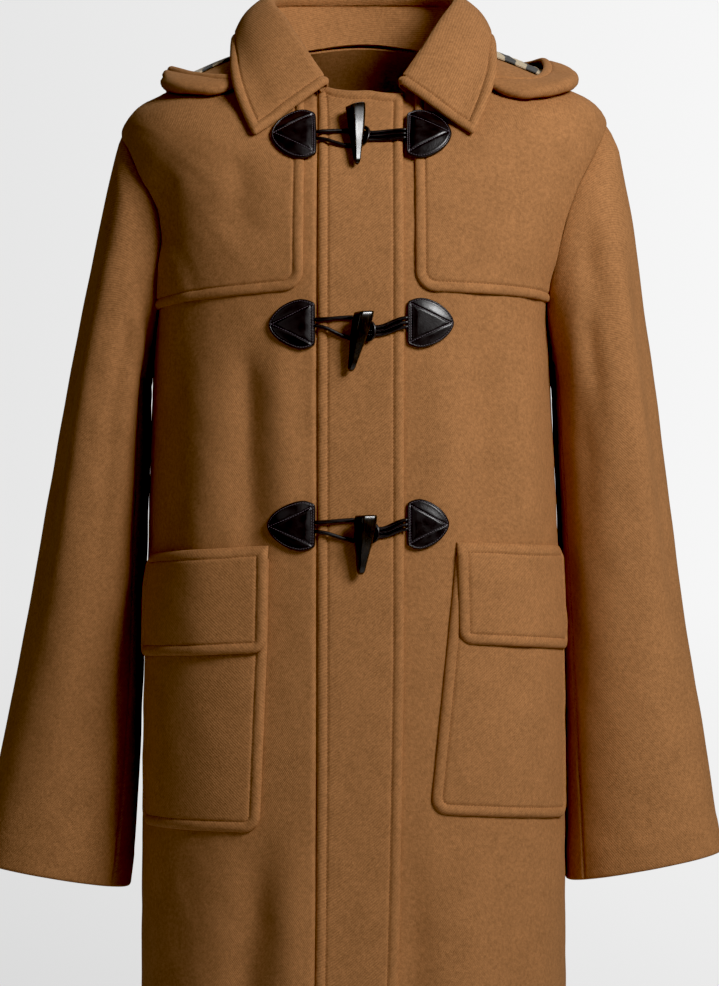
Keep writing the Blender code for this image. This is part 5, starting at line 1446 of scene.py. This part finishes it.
def uneven(tree, where, *patterns):
    """Cloudy patterns between 0 and 1, each from its patch size in millimetres, detail and distortion."""
    return [node(tree, "ShaderNodeTexNoise",
                 inputs={"Vector": where, "Scale": 1 / (spacing * MM), "Detail": detail, "Roughness": 0.55,
                         "Distortion": distortion})
            for spacing, detail, distortion in patterns]


def blended(tree, *parts):
    """The sum of patterns, each taken from its own range to its share: (pattern, from, to, low, high)."""
    total = None
    for pattern, start, end, low, high in parts:
        share = node(tree, "ShaderNodeMapRange", inputs={0: pattern, 1: start, 2: end, 3: low, 4: high})
        if total is None:
            total = share
        else:
            total = node(tree, "ShaderNodeMath", {"operation": "ADD"}, {0: total, 1: share})
    return total


def ribs_of_twill(tree, cloth, spacing, distortion, more=None):
    """Diagonal ribs of a woven cloth, `spacing` millimetres apart."""
    scale = 2 * math.pi / (WAVES_IN_TEXTURE * spacing * MM)
    ribs = node(tree, "ShaderNodeTexWave", {"wave_type": "BANDS", "bands_direction": "DIAGONAL"},
                {"Vector": cloth, "Scale": scale, "Distortion": distortion, **(more or {})})
    return ribs.outputs["Fac"]


def finished(tree, colour, shade, relief, depth, strength, gloss):
    """Ends a material: a colour scaled by a value round 1, relief of `depth` millimetres, and its gloss."""
    tint = node(tree, "ShaderNodeVectorMath", {"operation": "SCALE"}, {0: colour, "Scale": shade})
    bump = node(tree, "ShaderNodeBump",
                inputs={"Height": relief, "Distance": depth * MM, "Strength": strength})
    shader = node(tree, "ShaderNodeBsdfPrincipled", inputs={"Base Color": tint, "Normal": bump, **gloss})
    node(tree, "ShaderNodeOutputMaterial", inputs={"Surface": shader})


def napped_wool_twill(tree, colours, spacing=TWILL_RIB, turn=0.0):
    """Thick wool twill, fulled and napped: fibres half hide the ribs, so it looks matt and velvety."""
    coordinates = node(tree, "ShaderNodeTexCoord")
    cloth = node(tree, "ShaderNodeMapping",
                 inputs={"Vector": coordinates.outputs["UV"], "Rotation": (0, 0, turn)})
    ribs = ribs_of_twill(tree, cloth, spacing, 2.4, {"Detail": 2.0, "Detail Scale": 1.6})
    clouds, patches, fibres = uneven(tree, coordinates.outputs["Object"],
                                     (26.0, 2.0, 0.0), (3.2, 3.0, 0.0), (1.1, 3.0, 0.6))
    shade = blended(tree, (clouds, 0.3, 0.7, -0.05, 0.05), (patches, 0.3, 0.7, 0.85, 1.15),
                    (fibres, 0.3, 0.7, -0.12, 0.12), (ribs, 0, 1, -0.1, 0.1))
    nap = blended(tree, (fibres, 0, 1, 0, 0.9), (ribs, 0, 1, 0, 0.35), (patches, 0, 1, 0, 0.7))
    finished(tree, tuple(colours.wool), shade, nap, 0.55, 0.55,
             {"Roughness": 0.9, "Specular IOR Level": 0.22, "Sheen Weight": 0.3, "Sheen Roughness": 0.45,
              "Sheen Tint": linear(SHEEN)})


def collar_wool_twill(tree, colours):
    """The same cloth turned on the collar, whose ribs run nearly level."""
    napped_wool_twill(tree, colours, COLLAR_RIB, COLLAR_TURN)


def striped_wool_lining(tree, colours):
    """Wool lining cloth, woven in broad stripes of charcoal and cream that run with the rim of the hood."""
    coordinates = node(tree, "ShaderNodeTexCoord")
    cloth, place = coordinates.outputs["UV"], coordinates.outputs["Object"]
    wobble, fibres = uneven(tree, place, (3.0, 2.0, 0.0), (1.0, 3.0, 0.0))
    shift = blended(tree, (wobble, 0.3, 0.7, -0.0004, 0.0004))
    across = node(tree, "ShaderNodeMath", {"operation": "ADD"},
                  {0: node(tree, "ShaderNodeSeparateXYZ", inputs={0: cloth}), 1: shift})
    pairs = node(tree, "ShaderNodeMath", {"operation": "DIVIDE"},
                 {0: across, 1: 2 * bpy.context.scene.coat_sizes.stripe_width})
    stripes = node(tree, "ShaderNodeValToRGB",
                   inputs={0: node(tree, "ShaderNodeMath", {"operation": "FRACT"}, {0: pairs})})
    dark, light = (*colours.lining_dark, 1.0), (*colours.lining_light, 1.0)
    ramp = stripes.color_ramp
    ramp.interpolation = "LINEAR"
    ramp.elements[0].color = ramp.elements[1].color = dark
    ramp.elements[1].position = 1.0
    for position, colour in ((0.5 - STRIPE_EDGE, dark), (0.5, light), (1.0 - STRIPE_EDGE, light)):
        ramp.elements.new(position).color = colour
    weave = ribs_of_twill(tree, cloth, LINING_RIB, 1.5)
    shade = blended(tree, (fibres, 0.3, 0.7, 0.88, 1.1), (weave, 0, 1, -0.05, 0.05))
    relief = blended(tree, (fibres, 0, 1, 0, 1), (weave, 0, 1, 0, 1))
    finished(tree, stripes, shade, relief, 0.2, 0.5,
             {"Roughness": 0.88, "Specular IOR Level": 0.25, "Sheen Weight": 0.15, "Sheen Roughness": 0.5})


def waxed_leather(tree, colours):
    """Full-grain leather, dyed nearly black brown and waxed: fine pebbled grain, soft gloss."""
    place = node(tree, "ShaderNodeTexCoord").outputs["Object"]
    pebbles = node(tree, "ShaderNodeTexVoronoi", {"feature": "SMOOTH_F1"},
                   {"Vector": place, "Scale": 1 / (1.3 * MM), "Smoothness": 0.7})
    worn, fine = uneven(tree, place, (7.0, 3.0, 0.0), (0.6, 3.0, 0.0))
    shade = blended(tree, (worn, 0.3, 0.7, 0.75, 1.2), (pebbles, 0, 0.8, 0.05, -0.1))
    grain = blended(tree, (pebbles, 0, 1, 0, 1), (fine, 0, 1, 0, 0.5))
    finished(tree, tuple(colours.leather), shade, grain, 0.12, 0.5,
             {"Roughness": blended(tree, (worn, 0.3, 0.7, 0.3, 0.46)), "Specular IOR Level": 0.5,
              "Coat Weight": 0.25, "Coat Roughness": 0.25})


def polished_horn(tree, colours):
    """Buffalo horn, sawn and polished: nearly black, with faint brown streaks along it and a hard shine."""
    place = node(tree, "ShaderNodeTexCoord").outputs["Object"]
    along = node(tree, "ShaderNodeMapping", inputs={"Vector": place, "Scale": (1, 1, 0.12)})
    streaks, = uneven(tree, along, (1.6, 3.0, 0.4))
    clouds, = uneven(tree, place, (9.0, 2.0, 0.0))
    strong = blended(tree, (streaks, 0.45, 0.75, 0, 0.8))
    spread = blended(tree, (clouds, 0.35, 0.65, 0.2, 1))
    amount = node(tree, "ShaderNodeMath", {"operation": "MULTIPLY"}, {0: strong, 1: spread})
    horn = node(tree, "ShaderNodeMix", {"data_type": "RGBA"},
                {0: amount, 6: (*colours.horn, 1.0), 7: (*colours.horn_streak, 1.0)})
    finished(tree, horn.outputs[2], 1.0, streaks, 0.06, 0.4,
             {"Roughness": blended(tree, (clouds, 0.3, 0.7, 0.2, 0.34)), "Specular IOR Level": 0.55,
              "Coat Weight": 0.3, "Coat Roughness": 0.12})


def sewing_thread(tree, colour, low, high, gloss):
    fibres, = uneven(tree, node(tree, "ShaderNodeTexCoord").outputs["Object"], (0.5, 2.0, 0.0))
    finished(tree, tuple(colour), blended(tree, (fibres, 0.3, 0.7, low, high)), fibres, 0.1, 0.4, gloss)


def wool_sewing_thread(tree, colours):
    """Spun sewing thread, a little darker than the wool, with random tone along it."""
    sewing_thread(tree, colours.wool_thread, 0.85, 1.15, {"Roughness": 0.8, "Specular IOR Level": 0.3})


def waxed_linen_thread(tree, colours):
    """Waxed linen thread, dark, with a dull shine on each stitch."""
    sewing_thread(tree, colours.leather_thread, 0.8, 1.2, {"Roughness": 0.5, "Specular IOR Level": 0.5})


def painted_board(tree, colours):
    """A painted board, matt and even, that fades out at its rim."""
    place = node(tree, "ShaderNodeTexCoord").outputs["Object"]
    fine, = uneven(tree, place, (30.0, 2.0, 0.0))
    level = node(tree, "ShaderNodeVectorMath", {"operation": "MULTIPLY"}, {0: place, 1: (1, 1, 0)})
    out = node(tree, "ShaderNodeVectorMath", {"operation": "LENGTH"}, {0: level})
    finished(tree, linear(FLOOR)[:3], blended(tree, (fine, 0.3, 0.7, 0.99, 1.01)), fine, 0.05, 0.2,
             {"Roughness": 0.7, "Specular IOR Level": 0.2,
              "Alpha": blended(tree, (out.outputs["Value"], 1.2, 2.6, 1.0, 0.0))})


FINISHES = {
    "napped_wool_twill": napped_wool_twill,
    "collar_wool_twill": collar_wool_twill,
    "striped_wool_lining": striped_wool_lining,
    "waxed_leather": waxed_leather,
    "polished_horn": polished_horn,
    "wool_sewing_thread": wool_sewing_thread,
    "waxed_linen_thread": waxed_linen_thread,
    "painted_board": painted_board,
}


def material(finish):
    """The finish with this name, made once."""
    made = bpy.data.materials.get(finish)
    if made is None:
        made = bpy.data.materials.new(finish)
        made.use_nodes = True
        made.node_tree.nodes.clear()
        FINISHES[finish](made.node_tree, bpy.context.scene.coat_colours)
    return made


# ================================================================ stage, in metres
FLOOR_Z, FLOOR_RADIUS = -1450, 2600      # millimetres, as the coat's own sizes
CAMERA_PLACE = (0, -3.35, -0.402)
HALF_VIEW = 7.72             # degrees from the middle of the view to its upper edge
SENSOR = 36
BLACK_LEVEL = 0.012
PAPER_SPREAD = 0.095         # the paper's painted light runs from its shaded left to its lit right between these directions
PAPER_LOW, PAPER_LEVEL = -0.134, -0.03   # and painted shade darkens it between these directions, down to the lower edge
LIGHTS = (
    ("key", 44.0, (0.8, 0.8), (1.3, -1.5, 0.85), (0.0, -0.1, -0.25)),
    ("fill", 2.5, (1.6, 1.6), (-1.8, -2.2, 0.2), (0.0, 0.0, -0.4)),
    ("rim", 5.0, (1.2, 1.2), (0.4, 1.6, 1.4), (0.0, 0.0, -0.2)),
)


def make_floor():
    turns = np.radians(np.arange(0, 360, 5))
    rim = np.stack([FLOOR_RADIUS * np.cos(turns), FLOOR_RADIUS * np.sin(turns), 0 * turns + FLOOR_Z],
                   axis=-1)
    new_object("floor", rim, [tuple(range(len(rim)))], "painted_board")


def make_camera(scene):
    data = bpy.data.cameras.new("camera")
    data.sensor_fit = "VERTICAL"
    data.sensor_width = data.sensor_height = SENSOR
    data.lens = SENSOR / 2 / math.tan(math.radians(HALF_VIEW))
    camera = bpy.data.objects.new("camera", data)
    camera.location = CAMERA_PLACE
    camera.rotation_euler = (math.pi / 2, 0, 0)
    scene.collection.objects.link(camera)
    scene.camera = camera


def make_lights(scene):
    for name, power, size, place, target in LIGHTS:
        lamp = bpy.data.lights.new(name, "AREA")
        lamp.shape = "RECTANGLE"
        lamp.energy = power
        lamp.size, lamp.size_y = size
        holder = bpy.data.objects.new(name, lamp)
        holder.location = place
        holder.rotation_euler = (Vector(target) - Vector(place)).to_track_quat("-Z", "Y").to_euler()
        scene.collection.objects.link(holder)


def make_world(scene):
    """White paper as the camera sees it, with painted light brighter on the right and painted shade towards
    its lower edge, and a faint glow for everything else.
    """
    world = bpy.data.worlds.new("studio")
    scene.world = world
    world.use_nodes = True
    tree = world.node_tree
    tree.nodes.clear()
    directions = node(tree, "ShaderNodeTexCoord").outputs["Generated"]
    way = node(tree, "ShaderNodeSeparateXYZ", inputs={0: directions})
    # painted light: the paper brightens from left to right; painted shade darkens it towards the lower edge
    across = blended(tree, (way.outputs[0], -PAPER_SPREAD, PAPER_SPREAD, 0, 1))
    paper = node(tree, "ShaderNodeMix", {"data_type": "RGBA"},
                 {0: across, 6: linear(PAPER_SHADED_LEFT), 7: linear(PAPER_LIT_RIGHT)})
    light = blended(tree, (way.outputs[2], PAPER_LOW, PAPER_LEVEL, 0.9, 1.01))
    seen = node(tree, "ShaderNodeBackground", inputs={0: paper.outputs[2], 1: light})
    glow = node(tree, "ShaderNodeBackground", inputs={0: linear(GLOW), 1: GLOW_STRENGTH})
    shown = node(tree, "ShaderNodeLightPath").outputs["Is Camera Ray"]
    both = node(tree, "ShaderNodeMixShader", inputs={0: shown, 1: glow, 2: seen})
    node(tree, "ShaderNodeOutputWorld", inputs={0: both})
    scene.view_settings.view_transform = "Standard"
    scene.view_settings.use_curve_mapping = True
    scene.view_settings.curve_mapping.black_level = (BLACK_LEVEL,) * 3


# ================================================================ the add-on
def size_property(name, description, default, low=0.0):
    return bpy.props.FloatProperty(name=name, description=description, default=default, min=low,
                                   unit="LENGTH")


def colour_property(name, description, default):
    return bpy.props.FloatVectorProperty(name=name, description=description, default=linear(default)[:3],
                                         min=0.0, max=1.0, subtype="COLOR")


class CoatSizes(bpy.types.PropertyGroup):
    """Sizes of the sewing and of the lining's stripes"""
    rim_swell: size_property("Rim swell", "How far a stitched rim stands proud", 0.001)
    groove_depth: size_property("Groove depth", "How far the stitches draw the cloth in", 0.001)
    stitch_pitch: size_property("Stitch pitch", "From one stitch to the next", 0.0032, 0.001)
    stitch_length: size_property("Stitch length", "The part of a stitch that shows", 0.0023, 0.0005)
    stripe_width: size_property("Stripe width", "Width of each stripe of the hood's lining", 0.011, 0.001)


class CoatColours(bpy.types.PropertyGroup):
    """Colours of the cloth, the leather, the horn and the threads"""
    wool: colour_property("Wool", "The coat's cloth", "#AA774C")
    wool_thread: colour_property("Wool thread", "The thread along the edges", "#7A5230")
    lining_light: colour_property("Light stripe", "The light stripes of the hood's lining", "#D9C6A6")
    lining_dark: colour_property("Dark stripe", "The dark stripes of the hood's lining", "#4A4A48")
    leather: colour_property("Leather", "Tabs and cords", "#1C1616")
    leather_thread: colour_property("Leather thread", "The thread of the tabs", "#6B6068")
    horn: colour_property("Horn", "The toggles", "#17130F")
    horn_streak: colour_property("Horn streaks", "The streaks along the toggles", "#3A2A1B")


class COAT_OT_body(bpy.types.Operator):
    """Makes the fronts, the back with its yoke, and the placket"""
    bl_idname = "coat.body"
    bl_label = "Body"

    def execute(self, context):
        make_fronts()
        make_back()
        make_placket()
        return {"FINISHED"}


class COAT_OT_yokes(bpy.types.Operator):
    """Makes the storm yokes over the shoulders"""
    bl_idname = "coat.yokes"
    bl_label = "Yokes"

    def execute(self, context):
        make_yokes()
        return {"FINISHED"}


class COAT_OT_pockets(bpy.types.Operator):
    """Makes the patch pockets and their flaps"""
    bl_idname = "coat.pockets"
    bl_label = "Pockets"

    def execute(self, context):
        make_pockets()
        return {"FINISHED"}


class COAT_OT_sleeves(bpy.types.Operator):
    """Makes the two-piece sleeves"""
    bl_idname = "coat.sleeves"
    bl_label = "Sleeves"

    def execute(self, context):
        make_sleeves()
        return {"FINISHED"}


class COAT_OT_collar(bpy.types.Operator):
    """Makes the collar and its stand"""
    bl_idname = "coat.collar"
    bl_label = "Collar"

    def execute(self, context):
        make_collar()
        return {"FINISHED"}


class COAT_OT_hood(bpy.types.Operator):
    """Makes the hood and its lining, down on the back"""
    bl_idname = "coat.hood"
    bl_label = "Hood"

    def execute(self, context):
        make_hood()
        return {"FINISHED"}


class COAT_OT_tabs(bpy.types.Operator):
    """Makes the leather tabs"""
    bl_idname = "coat.tabs"
    bl_label = "Tabs"

    def execute(self, context):
        for number, size in fastenings():
            base = YOKE_TOP + GAP if number == 1 else SECOND_LOW
            make_tab(f"tab_right_{number}", -1, RIGHT_TAB_EDGE, size["tab_z"], base)
            make_tab(f"tab_left_{number}", 1, LEFT_TAB_EDGE, size["tab_z"] + LEFT_TAB_RISE, base,
                     size["left_reach"])
        return {"FINISHED"}


class COAT_OT_cords(bpy.types.Operator):
    """Makes the cord loops and the toggle cords"""
    bl_idname = "coat.cords"
    bl_label = "Cords"

    def execute(self, context):
        for number, size in fastenings():
            make_loop(number, size)
            make_toggle_cord(number, size)
        return {"FINISHED"}


class COAT_OT_toggles(bpy.types.Operator):
    """Makes the horn toggles"""
    bl_idname = "coat.toggles"
    bl_label = "Toggles"

    def execute(self, context):
        for number, size in fastenings():
            make_toggle(number, size)
        return {"FINISHED"}


class COAT_OT_stitches(bpy.types.Operator):
    """Sews the edges and the tabs"""
    bl_idname = "coat.stitches"
    bl_label = "Stitches"

    def execute(self, context):
        sizes = context.scene.coat_sizes
        make_stitches("wool_stitches", STITCH_LINES, sizes.stitch_pitch / MM, sizes.stitch_length / MM,
                      WOOL_THREAD_RADIUS, "wool_sewing_thread")
        make_stitches("leather_stitches", TAB_STITCHES, TAB_STITCH_PITCH, TAB_STITCH_LENGTH,
                      TAB_THREAD_RADIUS, "waxed_linen_thread")
        return {"FINISHED"}


class COAT_OT_stage(bpy.types.Operator):
    """Sets up the floor, the lights and the camera"""
    bl_idname = "coat.stage"
    bl_label = "Stage"

    def execute(self, context):
        make_floor()
        make_camera(context.scene)
        make_lights(context.scene)
        make_world(context.scene)
        return {"FINISHED"}


OPERATORS = (COAT_OT_body, COAT_OT_yokes, COAT_OT_pockets, COAT_OT_sleeves, COAT_OT_collar, COAT_OT_hood,
             COAT_OT_tabs, COAT_OT_cords, COAT_OT_toggles, COAT_OT_stitches, COAT_OT_stage)


SIZE_NAMES = ("rim_swell", "groove_depth", "stitch_pitch", "stitch_length", "stripe_width")
COLOUR_NAMES = ("wool", "wool_thread", "lining_light", "lining_dark", "leather", "leather_thread",
                "horn", "horn_streak")


class COAT_PT_panel(bpy.types.Panel):
    """Lists the coat's sizes and colours and the steps that build it"""
    bl_idname = "COAT_PT_panel"
    bl_label = "Duffle coat"
    bl_space_type = "VIEW_3D"
    bl_region_type = "UI"
    bl_category = "Coat"

    def draw(self, context):
        for name in SIZE_NAMES:
            self.layout.prop(context.scene.coat_sizes, name)
        for name in COLOUR_NAMES:
            self.layout.prop(context.scene.coat_colours, name)
        for made in OPERATORS:
            self.layout.operator(made.bl_idname)


CLASSES = (CoatSizes, CoatColours, *OPERATORS, COAT_PT_panel)


def register():
    for made in CLASSES:
        bpy.utils.register_class(made)
    bpy.types.Scene.coat_sizes = bpy.props.PointerProperty(type=CoatSizes)
    bpy.types.Scene.coat_colours = bpy.props.PointerProperty(type=CoatColours)


def unregister():
    del bpy.types.Scene.coat_colours
    del bpy.types.Scene.coat_sizes
    for made in reversed(CLASSES):
        bpy.utils.unregister_class(made)


def main():
    register()
    steps = bpy.ops.coat
    for step in (steps.body, steps.yokes, steps.pockets, steps.sleeves, steps.collar, steps.hood,
                 steps.tabs, steps.cords, steps.toggles, steps.stitches, steps.stage):
        step()


if __name__ == "__main__":
    main()
